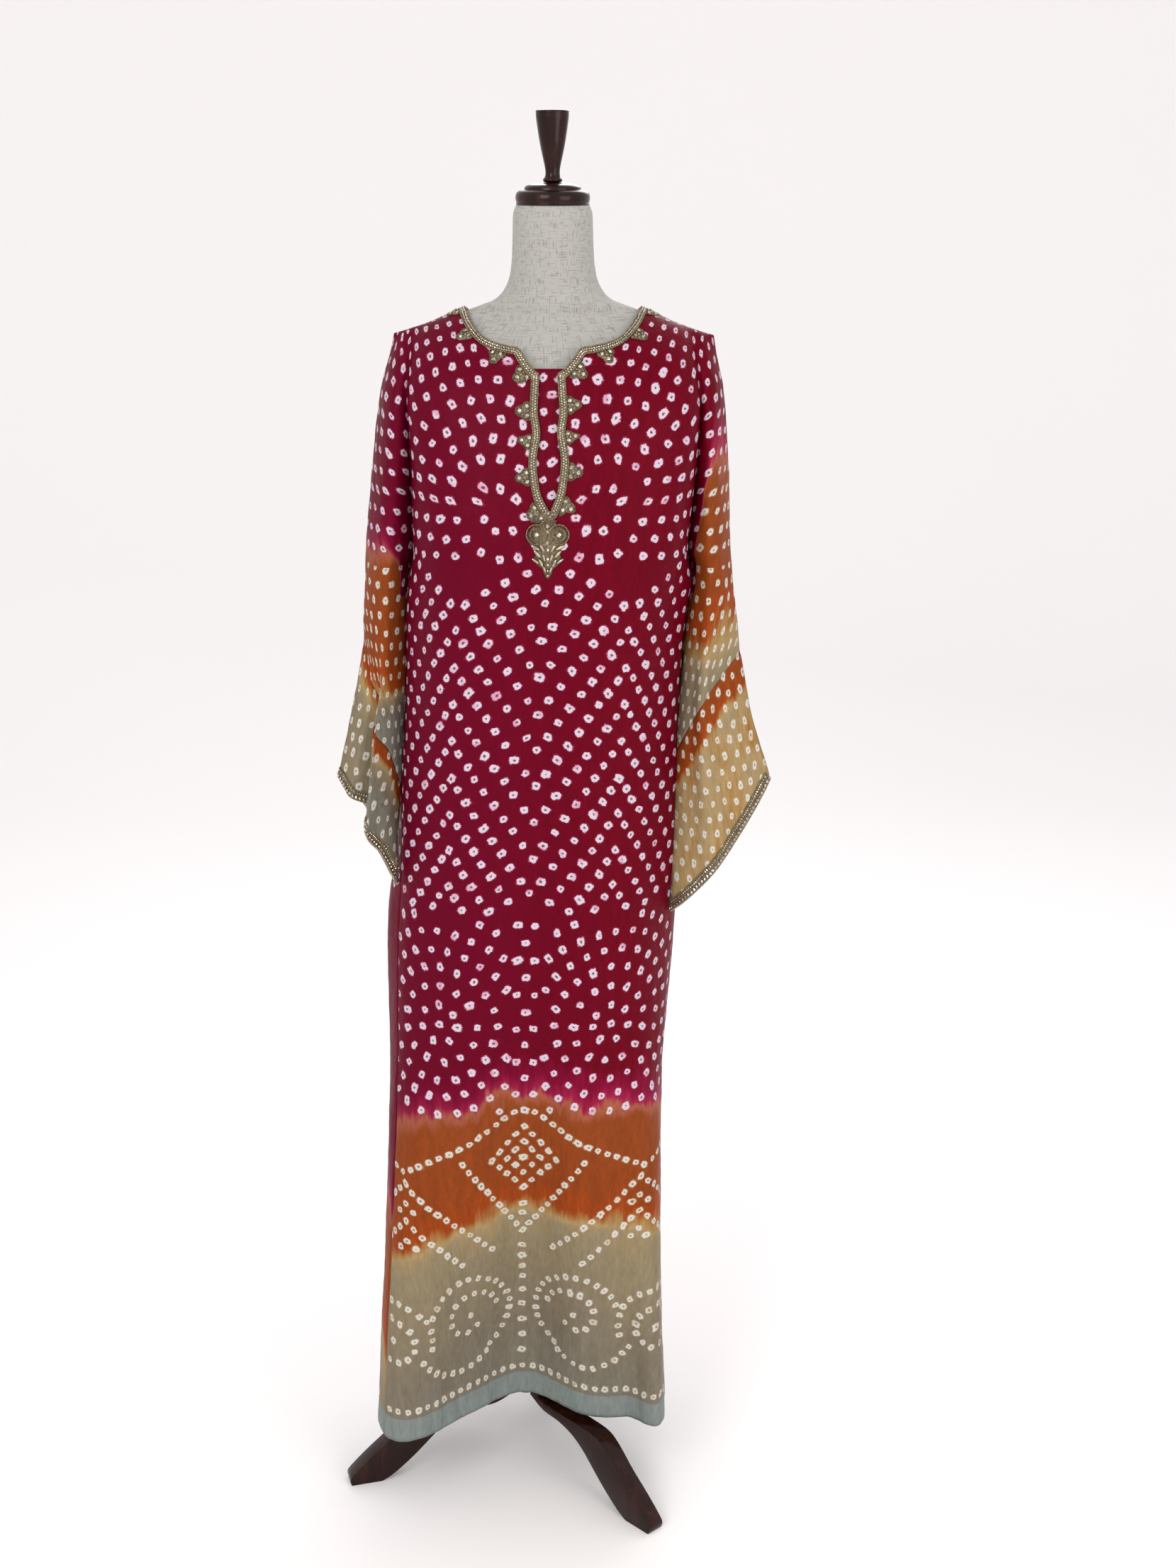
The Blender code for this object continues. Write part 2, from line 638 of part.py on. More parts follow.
def sew_garment():
    """All sheets of the kaftan, front and back with their sleeve halves."""
    garment = Garment()
    for side in (RIGHT, LEFT):
        garment.tips.add(garment.number(top_point(side, FRONT, 2.0)))
        for facing, piece in ((FRONT, "front"), (BACK, "back")):
            flip = side * facing == 1
            middle = FRONT_COLUMNS if facing == FRONT else BACK_COLUMNS
            body = middle + SIDE_COLUMNS
            whole = body + tuple(1 + share for share in SLEEVE_COLUMNS[1:])
            rows = [[yoke_point(side, facing, c, down) for c in whole] for down in YOKE_ROWS]
            rows += [[level_point(side, facing, c, z) for c in whole] for z in CHEST_LEVELS]
            garment.patch(piece, rows, flip)
            rows = [[body_point(side, facing, c, z) for c in body] for z in body_levels()]
            garment.patch(piece, rows, flip)
            rows = [[sleeve_point(side, facing, c, along) for c in SLEEVE_COLUMNS]
                    for along in SLEEVE_ROWS]
            rows[0] = [level_point(side, facing, 1 + c, UNDERARM_LEVEL) for c in SLEEVE_COLUMNS]
            garment.patch(piece, rows, flip)
            end = "right_sleeve_end" if side == RIGHT else "left_sleeve_end"
            rows = [[sleeve_point(side, facing, c, along) for c in SLEEVE_COLUMNS]
                    for along in END_ROWS]
            garment.patch(end, rows, flip)
        underarm = garment.number(body_point(side, FRONT, 1.0, UNDERARM_LEVEL))
        garment.fixed_lifts[underarm] = Vector((0, 0, -UNDERARM_LIFT))
        for facing in (FRONT, BACK):
            for height in CHEST_LEVELS[:-1]:
                floor = garment.number(level_point(side, facing, 1.0, height))
                garment.fixed_lifts[floor] = Vector((0, facing * MITRE_LIMIT, 0))
    return garment


def add_cuff_trim(name, garment, lifts, side, piece):
    """Beaded band on the last stretch of a sleeve end, standing out from its points."""
    covered = set()
    for along in END_ROWS[-2:]:
        for facing in (FRONT, BACK):
            for share in SLEEVE_COLUMNS:
                covered.add(garment.number(sleeve_point(side, facing, share, along)))
    faces = [face for face in garment.pieces[piece] if covered.issuperset(face)]
    high = TRIM_LIFT + TRIM_THICK
    outer, inner, skin, solid = garment.shell(faces, lifts, {}, high, TRIM_LIFT)
    return add_object(name, outer + inner, solid, BEADWORK)


def trefoil_reach(place):
    """How far the trim stands out beyond its band, along its length from the slit's foot."""
    from_middle = min(abs(place - trefoil) for trefoil in TREFOIL_PLACES)
    leaf = bump(from_middle / 0.0085)
    side_leaf = 0.55 * bump((from_middle - 0.0095) / 0.0065)
    return TREFOIL_REACH * max(power(leaf, 0.6), side_leaf)


def even_path(points, step):
    """Points at even steps along a line of points, with the distance of each."""
    lengths = [0.0]
    for a, b in zip(points, points[1:]):
        lengths.append(lengths[-1] + (b - a).length)
    count = round(lengths[-1] / step)
    path = []
    for i in range(count + 1):
        place = lengths[-1] * i / count
        k = max(j for j in range(len(points) - 1) if lengths[j] <= place)
        share = (place - lengths[k]) / (lengths[k + 1] - lengths[k])
        path.append((place, points[k].lerp(points[k + 1], min(share, 1.0))))
    return path


def lay_on(tree, point, lift):
    """The nearest point of a sheet, lifted off it."""
    place, normal, index, distance = tree.find_nearest(point)
    return place + normal * lift


def add_laid_strip(name, tree, path, widths, finish):
    """A flat band on a sheet beside a path: widths gives each point's reach across."""
    last = len(path) - 1
    across = []
    for i, (place, point) in enumerate(path):
        ahead = path[min(i + 1, last)][1] - path[max(i - 1, 0)][1]
        normal = tree.find_nearest(point)[1]
        across.append(ahead.cross(normal).normalized())
    rows = []
    for i, (place, point) in enumerate(path):
        reach = min(STRIP_BLEND, i, last - i)
        near = across[i - reach:i + reach + 1]
        direction = sum(near, Vector()).normalized()
        rows.append([point + direction * width for width in widths(place)])
    return add_laid_grid(name, tree, rows, finish)


def add_laid_grid(name, tree, rows, finish):
    """A thin solid whose two faces follow a sheet under rows of points."""
    width = len(rows[0])
    points = []
    for lift in (TRIM_LIFT, TRIM_LIFT + TRIM_THICK):
        points += [lay_on(tree, point, lift) for row in rows for point in row]
    count = width * len(rows)
    faces = []
    for r in range(len(rows) - 1):
        for c in range(width - 1):
            a = r * width + c
            faces.append([a, a + 1, a + 1 + width, a + width])
    solid = list(faces)
    solid += [[i + count for i in reversed(face)] for face in faces]
    solid += [[b, a, a + count, b + count] for a, b in boundary_edges(faces)]
    normal = tree.find_nearest(points[0])[1]
    a, b, c, d = (points[i] for i in faces[0])
    if (c - a).cross(d - b).dot(normal) > 0:
        solid = [face[::-1] for face in solid]
    return add_object(name, points, solid, finish)


def front_edge_path():
    """Neckline and slit edge of the front from the left neck point round to the right."""
    line = []
    for side in (LEFT, RIGHT):
        half = [top_point(side, FRONT, share) for share in reversed(FRONT_COLUMNS)]
        half += [yoke_point(side, FRONT, 0.0, down) for down in YOKE_ROWS[1:]]
        half += [body_point(side, FRONT, 0.0, z) for z in CHEST_LEVELS if z >= SLIT_BOTTOM]
        line.append(half)
    return line[0] + line[1][-2::-1]


def add_neck_trim(tree):
    line = front_edge_path()
    path = even_path(line, 0.0058)
    middle = path[-1][0] / 2

    def widths(place):
        reach = trefoil_reach(abs(place - middle))
        edge = TRIM_WIDTH + 0.0012
        return (-0.0012, TRIM_WIDTH, edge + reach / 2, edge + 0.0006 + reach)

    return add_laid_strip("neck_trim", tree, path, widths, BEADWORK)


def add_back_neck_trim(tree):
    line = [top_point(LEFT, BACK, share) for share in reversed(BACK_COLUMNS)]
    line += [top_point(RIGHT, BACK, share) for share in BACK_COLUMNS[1:]]
    path = even_path(line, 0.008)
    return add_laid_strip("back_neck_trim", tree, path,
                          lambda place: (0.0012, -TRIM_WIDTH / 2, -TRIM_WIDTH), BEADWORK)


# Half width of the motif that hangs below the slit, by height
Motif = namedtuple("Motif", "height half")
PENDANT = (
    Motif(1.3035, 0.0012), Motif(1.3100, 0.0050), Motif(1.3160, 0.0030),
    Motif(1.3220, 0.0110), Motif(1.3290, 0.0160), Motif(1.3360, 0.0090),
    Motif(1.3430, 0.0170), Motif(1.3490, 0.0210), Motif(1.3550, 0.0190),
    Motif(1.3605, 0.0090), Motif(1.3655, 0.0035),
)


def add_pendant(tree):
    rows = []
    for motif in PENDANT:
        middle = body_point(RIGHT, FRONT, 0.0, motif.height)
        middle.x += -0.002
        rows.append([middle + Vector((motif.half * k, 0, 0)) for k in (-1, -0.35, 0.35, 1)])
    return add_laid_grid("slit_pendant", tree, rows, BEADWORK)


def add_underlap(tree):
    """The placket cloth behind the slit."""
    left, right = -0.036, 0.028
    columns = 6
    rows = []
    for i in range(9):
        height = mix(1.5515, 1.345, i / 8)
        row = []
        for k in range(columns + 1):
            x = mix(left, right, k / columns)
            row.append(Vector((x, chest_depth(tree, x, height), height)))
        rows.append(row)
    back = Vector((0, 1, 0))
    thick = 0.0012
    gap = WALL + 0.0007
    front_points = [point + back * gap for row in rows for point in row]
    back_points = [point + back * (gap + thick) for row in rows for point in row]
    width = columns + 1
    count = len(front_points)
    faces = []
    for r in range(len(rows) - 1):
        for c in range(columns):
            a = r * width + c
            faces.append([a, a + width, a + width + 1, a + 1])
    solid = list(faces)
    solid += [[i + count for i in reversed(face)] for face in faces]
    solid += [[b, a, a + count, b + count] for a, b in boundary_edges(faces)]
    return add_object("slit_underlap", front_points + back_points, solid, SILK)


def chest_depth(tree, x, height):
    """Depth of the front's outer face at a place, bridged across the open slit."""
    start = Vector((x, -1.0, height))
    hit = tree.ray_cast(start, Vector((0, 1, 0)))[0]
    if hit and hit.y < 0:
        return hit.y
    half = 0.0155 if height < 1.53 else 0.024
    middle = read(SLIT, height, "middle")
    ends = []
    for side in (LEFT, RIGHT):
        start = Vector((middle + side * half, -1.0, height))
        ends.append(tree.ray_cast(start, Vector((0, 1, 0)))[0].y)
    return mix(ends[0], ends[1], (x - middle + half) / (2 * half))


def add_loft(name, sections, sides, finish):
    """Closed solid through level rings."""
    points = []
    for section in sections:
        roundness = 2 / section.square
        for i in range(sides):
            angle = 2 * pi * i / sides
            across = power(abs(sin(angle)), roundness) * (1 if sin(angle) >= 0 else -1)
            reach = power(abs(cos(angle)), roundness) * (1 if cos(angle) >= 0 else -1)
            depth = section.front if cos(angle) >= 0 else section.back
            x = section.middle + section.half_width * across
            points.append(Vector((x, -depth * reach, section.height)))
    faces = []
    for r in range(len(sections) - 1):
        for i in range(sides):
            j = (i + 1) % sides
            a = r * sides
            faces.append([a + i, a + j, a + sides + j, a + sides + i])
    top = (len(sections) - 1) * sides
    faces.append([top + i for i in range(sides)])
    faces.append([i for i in reversed(range(sides))])
    return add_object(name, points, faces, finish)


def add_turned(name, outline, sides, finish, axis):
    """A solid turned about an upright axis."""
    shape = bmesh.new()
    verts = [shape.verts.new((turn.radius, 0, turn.height)) for turn in outline]
    edges = [shape.edges.new(pair) for pair in zip(verts, verts[1:])]
    bmesh.ops.spin(shape, geom=verts + edges, cent=(0, 0, 0), axis=(0, 0, 1),
                   angle=2 * pi, steps=sides, use_merge=True)
    bmesh.ops.remove_doubles(shape, verts=shape.verts, dist=1e-6)
    bmesh.ops.recalc_face_normals(shape, faces=shape.faces)
    bmesh.ops.translate(shape, verts=shape.verts, vec=axis)
    mesh = bpy.data.meshes.new(name)
    shape.to_mesh(mesh)
    shape.free()
    mesh.shade_smooth()
    mesh.set_sharp_from_angle(angle=radians(40))
    mesh.materials.append(finish_material(name + "_finish", finish))
    item = bpy.data.objects.new(name, mesh)
    bpy.context.collection.objects.link(item)
    return item


def add_leg(name, turn):
    """A sawn S-curved leg, its top edge rounded, its foot flat on the floor."""
    outline = list(LEG_TOP) + list(LEG_UNDER)
    shape = bmesh.new()
    face = shape.faces.new([shape.verts.new((p.radius, -LEG_WIDTH / 2, p.height))
                            for p in outline])
    grown = bmesh.ops.extrude_face_region(shape, geom=[face])
    moved = [item for item in grown["geom"] if isinstance(item, bmesh.types.BMVert)]
    bmesh.ops.translate(shape, verts=moved, vec=(0, LEG_WIDTH, 0))
    bmesh.ops.recalc_face_normals(shape, faces=shape.faces)
    top_heights = {round(p.radius, 5): p.height for p in LEG_TOP[1:-1]}
    ridge = []
    for edge in shape.edges:
        ends = [(round(v.co.x, 5), v.co.z, v.co.y) for v in edge.verts]
        on_top = all(x in top_heights and abs(top_heights[x] - z) < 1e-6 for x, z, y in ends)
        if on_top and abs(ends[0][2] - ends[1][2]) < 1e-6:
            ridge.append(edge)
    bmesh.ops.bevel(shape, geom=ridge, offset=0.007, offset_type="OFFSET", segments=2,
                    profile=0.5, affect="EDGES", material=-1, clamp_overlap=True)
    bmesh.ops.rotate(shape, verts=shape.verts, cent=(0, 0, 0),
                     matrix=Matrix.Rotation(radians(turn), 3, "Z"))
    bmesh.ops.translate(shape, verts=shape.verts, vec=STAND_AXIS)
    mesh = bpy.data.meshes.new(name)
    shape.to_mesh(mesh)
    shape.free()
    mesh.materials.append(finish_material(name + "_finish", MAHOGANY))
    item = bpy.data.objects.new(name, mesh)
    bpy.context.collection.objects.link(item)
    return item


def add_pole():
    length = FORM_BOTTOM - FIT_GAP - (HUB_TOP + FIT_GAP)
    outline = (
        Turn(0.0, HUB_TOP + FIT_GAP), Turn(POLE_RADIUS, HUB_TOP + FIT_GAP),
        Turn(POLE_RADIUS, HUB_TOP + FIT_GAP + length), Turn(0.0, HUB_TOP + FIT_GAP + length),
    )
    return add_turned("pole", outline, 20, MAHOGANY, STAND_AXIS)


def centre_on_origin():
    """Move the whole object so that the middle of its box stands on the origin."""
    corners = [vertex.co for item in bpy.data.objects for vertex in item.data.vertices]
    middle_x = (max(c.x for c in corners) + min(c.x for c in corners)) / 2
    middle_y = (max(c.y for c in corners) + min(c.y for c in corners)) / 2
    for item in bpy.data.objects:
        item.location = (-middle_x, -middle_y, 0.0)


def main():
    clear_scene()
    garment = sew_garment()
    lifts = garment.lifts()
    trees = {}
    for piece, finish in (("front", SILK), ("back", SILK),
                          ("right_sleeve_end", SLEEVE_SILK), ("left_sleeve_end", SLEEVE_SILK)):
        moves = garment.seam_moves(piece, lifts)
        outer, inner, skin, solid = garment.shell(garment.pieces[piece], lifts, moves, 0.0, -WALL)
        add_object(piece, outer + inner, solid, finish)
        trees[piece] = BVHTree.FromPolygons(outer, skin)
    add_underlap(trees["front"])
    add_neck_trim(trees["front"])
    add_pendant(trees["front"])
    add_back_neck_trim(trees["back"])
    add_cuff_trim("right_cuff_trim", garment, lifts, RIGHT, "right_sleeve_end")
    add_cuff_trim("left_cuff_trim", garment, lifts, LEFT, "left_sleeve_end")
    add_loft("dress_form", FORM, FORM_SIDES, LINEN)
    add_turned("neck_cap", CAP_OUTLINE, 32, MAHOGANY, NECK_AXIS)
    add_turned("finial", FINIAL_OUTLINE, 20, MAHOGANY, NECK_AXIS)
    add_pole()
    add_turned("hub", HUB_OUTLINE, 24, MAHOGANY, STAND_AXIS)
    for name, turn in zip(("right_leg", "left_leg", "back_leg"), LEG_ANGLES):
        add_leg(name, turn)
    centre_on_origin()


main()
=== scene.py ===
import bpy
import bmesh
import random
from collections import namedtuple
from functools import lru_cache
from math import asin, atan2, cos, pi, radians, sin, sqrt
from mathutils import Matrix, Vector, noise
from mathutils.bvhtree import BVHTree
from mathutils.kdtree import KDTree


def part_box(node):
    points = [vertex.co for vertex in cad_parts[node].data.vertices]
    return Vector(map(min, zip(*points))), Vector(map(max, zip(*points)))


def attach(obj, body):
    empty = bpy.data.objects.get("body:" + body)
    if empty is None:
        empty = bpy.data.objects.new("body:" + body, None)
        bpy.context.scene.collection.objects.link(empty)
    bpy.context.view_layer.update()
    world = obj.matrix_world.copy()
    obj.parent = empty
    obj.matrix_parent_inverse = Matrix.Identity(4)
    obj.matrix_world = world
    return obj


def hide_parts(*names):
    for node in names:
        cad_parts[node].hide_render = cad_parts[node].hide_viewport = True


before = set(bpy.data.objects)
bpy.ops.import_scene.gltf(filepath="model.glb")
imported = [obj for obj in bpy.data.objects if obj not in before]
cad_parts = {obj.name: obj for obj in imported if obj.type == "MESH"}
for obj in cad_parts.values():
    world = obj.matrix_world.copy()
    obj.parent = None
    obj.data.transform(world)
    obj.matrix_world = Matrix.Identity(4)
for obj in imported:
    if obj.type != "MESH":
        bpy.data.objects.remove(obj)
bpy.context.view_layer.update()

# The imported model's box, and where its neck axis stands
FINIAL_LOW, FINIAL_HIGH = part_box("finial")
NECK_AXIS = Vector(((FINIAL_LOW.x + FINIAL_HIGH.x) / 2, (FINIAL_LOW.y + FINIAL_HIGH.y) / 2, 0))
HUB_LOW, HUB_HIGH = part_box("hub")
STAND_AXIS = Vector(((HUB_LOW.x + HUB_HIGH.x) / 2, (HUB_LOW.y + HUB_HIGH.y) / 2, 0))

# Levels of the cloth, the same ones that its solids are made from
SHOULDER_LEVEL = 1.50
UNDERARM_LEVEL = 1.30
HEM_LEVEL = 0.112
HEM_RISE = 0.008
HEM_RISE_PLACE = 0.02
HEM_RISE_SPREAD = 0.60
HEM_RISE_TOP = 0.40
SLIT_BOTTOM = 1.385
SLIT_FADE = 0.37
JOIN_SHARE = 0.35
CROWDING = 1.4
SLEEVE_ROUND = 0.72
CUFF_ROUND = 0.8
CAP_BULGE = 0.034
CAP_TOP = 1.56
CAP_FADE = 0.26
NECK_SHARE = 0.60
VALLEY_START = 0.172
TREFOIL_PLACES = (0.011, 0.049, 0.088, 0.127, 0.184, 0.236, 0.284, 0.336)
CREASE_EDGE = 0.42
CREASE_DIP = 0.62
CREASE_SPREAD = 0.17

FRONT = -1
BACK = 1
RIGHT = 1
LEFT = -1

# The body's sides are fuller behind the hanging sleeves: how far, levels, angle, spread
SWELL = {RIGHT: 0.020, LEFT: 0.0115}
SWELL_TOP = 1.325
SWELL_TOP_FADE = 0.06
SWELL_FOOT = 0.58
SWELL_FOOT_FADE = 0.28
SWELL_ANGLE = radians(99)
SWELL_SPREAD = radians(42)

# Level rings of the body: half width, middle, reach to the front and back, squareness
Section = namedtuple("Section", "height half_width middle front back square")
BODY = (
    Section(1.620, 0.1860, 0.0010, 0.060, 0.050, 2.2),
    Section(1.560, 0.1830, 0.0010, 0.104, 0.078, 2.5),
    Section(1.500, 0.1795, 0.0010, 0.122, 0.096, 2.7),
    Section(1.440, 0.1765, 0.0005, 0.134, 0.104, 2.8),
    Section(1.360, 0.1738, -0.0028, 0.143, 0.106, 2.8),
    Section(1.300, 0.1712, -0.0056, 0.143, 0.105, 2.8),
    Section(1.240, 0.1662, -0.0130, 0.141, 0.106, 2.8),
    Section(1.120, 0.1645, -0.0195, 0.137, 0.108, 2.8),
    Section(0.930, 0.1715, -0.0285, 0.133, 0.118, 2.9),
    Section(0.830, 0.1775, -0.0360, 0.132, 0.121, 2.9),
    Section(0.660, 0.1828, -0.0392, 0.131, 0.126, 3.0),
    Section(0.470, 0.1872, -0.0437, 0.128, 0.129, 3.1),
    Section(0.290, 0.1920, -0.0480, 0.120, 0.131, 3.3),
    Section(0.112, 0.2000, -0.0495, 0.110, 0.134, 3.5),
)

# Soft vertical folds: place across (1 is the side), push to the back, spread, where each
# begins, where it is deepest
Fold = namedtuple("Fold", "across push spread top deep")
FRONT_FOLDS = (
    Fold(HEM_RISE_PLACE, 0.064, 0.36, 0.780, 0.112),
    Fold(-0.90, -0.062, 0.27, 0.760, 0.112),
    Fold(1.00, -0.050, 0.15, 0.640, 0.112),
    Fold(0.70, 0.010, 0.20, 0.900, 0.300),
    Fold(-0.42, -0.006, 0.16, 1.280, 0.760),
    Fold(0.38, -0.006, 0.16, 1.280, 0.700),
    Fold(0.02, 0.007, 0.18, 1.300, 1.050),
)
BACK_FOLDS = (
    Fold(0.00, -0.016, 0.20, 1.400, 0.112),
    Fold(-0.46, 0.014, 0.20, 1.380, 0.112),
    Fold(0.48, 0.014, 0.20, 1.380, 0.112),
    Fold(-0.78, -0.012, 0.14, 1.200, 0.112),
    Fold(0.76, -0.012, 0.14, 1.200, 0.112),
)

# Floor of the valley between body and sleeve, as a distance from the side's own plane
Valley = namedtuple("Valley", "height front back")
VALLEY = (
    Valley(1.300, 0.000, 0.000),
    Valley(1.335, 0.015, 0.013),
    Valley(1.420, 0.038, 0.029),
    Valley(1.500, 0.052, 0.038),
    Valley(1.620, 0.052, 0.038),
)

# The left side seam has rolled to the front: angle round the ring, in degrees
Roll = namedtuple("Roll", "height angle")
LEFT_SEAM = (
    Roll(0.112, 63.0),
    Roll(0.700, 64.0),
    Roll(0.870, 68.0),
    Roll(1.000, 80.0),
    Roll(1.150, 90.0),
    Roll(1.700, 90.0),
)

# Half of the front neckline from the slit's corner to the neck point, and of the back one
Edge = namedtuple("Edge", "share out forward height")
FRONT_NECK = (
    Edge(0.00, 0.0110, 0.1065, 1.5460),
    Edge(0.12, 0.0185, 0.1045, 1.5510),
    Edge(0.24, 0.0285, 0.0985, 1.5630),
    Edge(0.36, 0.0365, 0.0915, 1.5740),
    Edge(0.50, 0.0520, 0.0865, 1.5772),
    Edge(0.64, 0.0690, 0.0760, 1.5806),
    Edge(0.78, 0.0850, 0.0600, 1.5870),
    Edge(0.90, 0.0985, 0.0370, 1.6010),
    Edge(1.00, 0.1080, 0.0000, 1.6165),
)
BACK_NECK = (
    Edge(0.00, 0.0000, -0.0840, 1.5880),
    Edge(0.50, 0.0560, -0.0740, 1.5910),
    Edge(0.80, 0.0920, -0.0440, 1.6010),
    Edge(1.00, 0.1080, 0.0000, 1.6165),
)

# Half width of the slit and the place of its middle
Slit = namedtuple("Slit", "height half middle")
SLIT = (
    Slit(1.385, 0.0000, -0.0030),
    Slit(1.403, 0.0085, -0.0040),
    Slit(1.425, 0.0130, -0.0042),
    Slit(1.448, 0.0145, -0.0040),
    Slit(1.477, 0.0100, -0.0040),
    Slit(1.500, 0.0130, -0.0042),
    Slit(1.520, 0.0150, -0.0043),
    Slit(1.546, 0.0105, -0.0045),
    Slit(1.620, 0.0105, -0.0045),
)

# Outer fold of each sleeve above the underarm, from the shoulder corner down
Outer = namedtuple("Outer", "height out forward")
RIGHT_OUTER = (
    Outer(1.300, 0.2262, -0.010),
    Outer(1.3281, 0.2245, -0.009),
    Outer(1.4359, 0.2197, -0.006),
    Outer(1.5065, 0.2131, -0.003),
    Outer(1.5414, 0.2081, -0.002),
    Outer(1.5880, 0.1990, 0.000),
)
LEFT_OUTER = (
    Outer(1.300, 0.2415, -0.010),
    Outer(1.3462, 0.2380, -0.009),
    Outer(1.4713, 0.2228, -0.005),
    Outer(1.5588, 0.2072, -0.002),
    Outer(1.5910, 0.1975, 0.000),
)

# Slanted rings of the hanging sleeves: 0 at the underarm, 1 at the seam of the end piece,
# 2 at the cuff.  The bow lifts the middle of a ring.
Ring = namedtuple("Ring", "along out_o fwd_o high_o out_i fwd_i high_i front back bow")
RIGHT_SLEEVE = (
    Ring(0.00, 0.2262, -0.010, 1.300, 0.1655, 0.000, 1.300, 0.054, 0.064, 0.000),
    Ring(0.35, 0.2310, -0.005, 1.259, 0.1655, 0.006, 1.211, 0.047, 0.053, 0.004),
    Ring(0.70, 0.2365, 0.002, 1.218, 0.1585, 0.012, 1.122, 0.040, 0.043, 0.012),
    Ring(1.00, 0.2395, 0.008, 1.183, 0.1530, 0.018, 1.046, 0.034, 0.036, 0.020),
    Ring(1.50, 0.2560, 0.018, 1.097, 0.1520, 0.030, 0.945, 0.029, 0.031, 0.002),
    Ring(2.00, 0.2800, 0.028, 1.018, 0.1510, 0.046, 0.842, 0.024, 0.027, -0.017),
)
LEFT_SLEEVE = (
    Ring(0.00, 0.2415, -0.010, 1.300, 0.1750, 0.000, 1.300, 0.054, 0.064, 0.000),
    Ring(0.35, 0.2445, -0.005, 1.262, 0.1875, 0.006, 1.200, 0.046, 0.053, 0.002),
    Ring(0.70, 0.2462, 0.000, 1.225, 0.1925, 0.014, 1.105, 0.038, 0.043, 0.004),
    Ring(1.00, 0.2470, 0.005, 1.190, 0.1985, 0.024, 1.008, 0.032, 0.037, 0.006),
    Ring(1.50, 0.2640, 0.018, 1.108, 0.2030, 0.048, 0.943, 0.028, 0.033, 0.004),
    Ring(2.00, 0.2830, 0.030, 1.022, 0.2040, 0.072, 0.888, 0.025, 0.030, 0.015),
)

# Lengthwise creases of the sleeve fronts: how far the crease's edge and the valley
# behind it move out and forward, for each share of the sleeve's length
Crease = namedtuple("Crease", "along edge_out edge_fwd dip_out dip_fwd")
LEFT_CREASE = (
    Crease(0.00, 0.000, 0.002, 0.000, 0.000),
    Crease(0.70, 0.002, 0.004, 0.000, -0.002),
    Crease(1.00, 0.012, 0.010, -0.004, -0.008),
    Crease(1.50, 0.008, 0.014, -0.013, -0.012),
    Crease(2.00, 0.003, 0.014, -0.021, -0.014),
)
RIGHT_CREASE = (
    Crease(0.00, 0.000, 0.003, 0.000, 0.000),
    Crease(1.00, -0.002, 0.010, 0.002, -0.006),
    Crease(1.50, -0.001, 0.008, 0.001, -0.005),
    Crease(2.00, 0.000, 0.003, 0.000, -0.002),
)

# The dress form, in level rings
FORM = (
    Section(0.880, 0.1260, -0.034, 0.092, 0.092, 2.3),
    Section(0.935, 0.1360, -0.029, 0.101, 0.101, 2.3),
    Section(0.990, 0.1380, -0.025, 0.104, 0.103, 2.3),
    Section(1.060, 0.1330, -0.020, 0.102, 0.098, 2.2),
    Section(1.130, 0.1210, -0.016, 0.094, 0.088, 2.1),
    Section(1.190, 0.1160, -0.013, 0.092, 0.080, 2.1),
    Section(1.250, 0.1220, -0.010, 0.102, 0.083, 2.1),
    Section(1.310, 0.1340, -0.006, 0.120, 0.088, 2.1),
    Section(1.360, 0.1460, -0.003, 0.136, 0.095, 2.1),
    Section(1.410, 0.1500, -0.001, 0.132, 0.096, 2.1),
    Section(1.460, 0.1520, 0.0, 0.119, 0.091, 2.1),
    Section(1.510, 0.1550, 0.0, 0.107, 0.086, 2.0),
    Section(1.545, 0.1550, 0.0, 0.096, 0.075, 1.9),
    Section(1.570, 0.1560, 0.0, 0.083, 0.065, 1.75),
    Section(1.586, 0.1560, 0.0, 0.073, 0.057, 1.50),
    Section(1.600, 0.1423, 0.0, 0.060, 0.053, 1.30),
    Section(1.612, 0.1095, 0.0, 0.0545, 0.051, 1.28),
    Section(1.624, 0.0760, 0.0, 0.054, 0.051, 1.7),
    Section(1.640, 0.0600, 0.0, 0.051, 0.051, 1.9),
    Section(1.662, 0.0530, 0.0, 0.051, 0.051, 2.0),
    Section(1.700, 0.0505, 0.0, 0.0505, 0.0505, 2.0),
    Section(1.728, 0.0495, 0.0, 0.0495, 0.0495, 2.0),
    Section(1.738, 0.0460, 0.0, 0.0460, 0.0460, 2.0),
)

# Turned outlines of the wooden parts: radius and height
Turn = namedtuple("Turn", "radius height")
CAP_OUTLINE = (
    Turn(0.0000, 1.7383), Turn(0.0410, 1.7383), Turn(0.0442, 1.7410),
    Turn(0.0455, 1.7465), Turn(0.0442, 1.7520), Turn(0.0405, 1.7548),
    Turn(0.0350, 1.7556), Turn(0.0340, 1.7590), Turn(0.0290, 1.7618),
    Turn(0.0150, 1.7640), Turn(0.0000, 1.7642),
)
FINIAL_OUTLINE = (
    Turn(0.0000, 1.7645), Turn(0.0095, 1.7645), Turn(0.0118, 1.7675),
    Turn(0.0095, 1.7710), Turn(0.0088, 1.7760), Turn(0.0100, 1.7850),
    Turn(0.0150, 1.8080), Turn(0.0190, 1.8330), Turn(0.0200, 1.8440),
    Turn(0.0182, 1.8485), Turn(0.0000, 1.8485),
)

FORM_INSET = 0.0012
NECK_BASE = 1.624
FORM_SIDES = 96
TURNED_SIDES = 72
LEG_WIDTH = 0.026
LEG_EASING = 0.0045
LEG_ANGLES = (-46.0, -164.0, 76.0)
HUB_RADIUS = 0.022
FIT_GAP = 0.0003

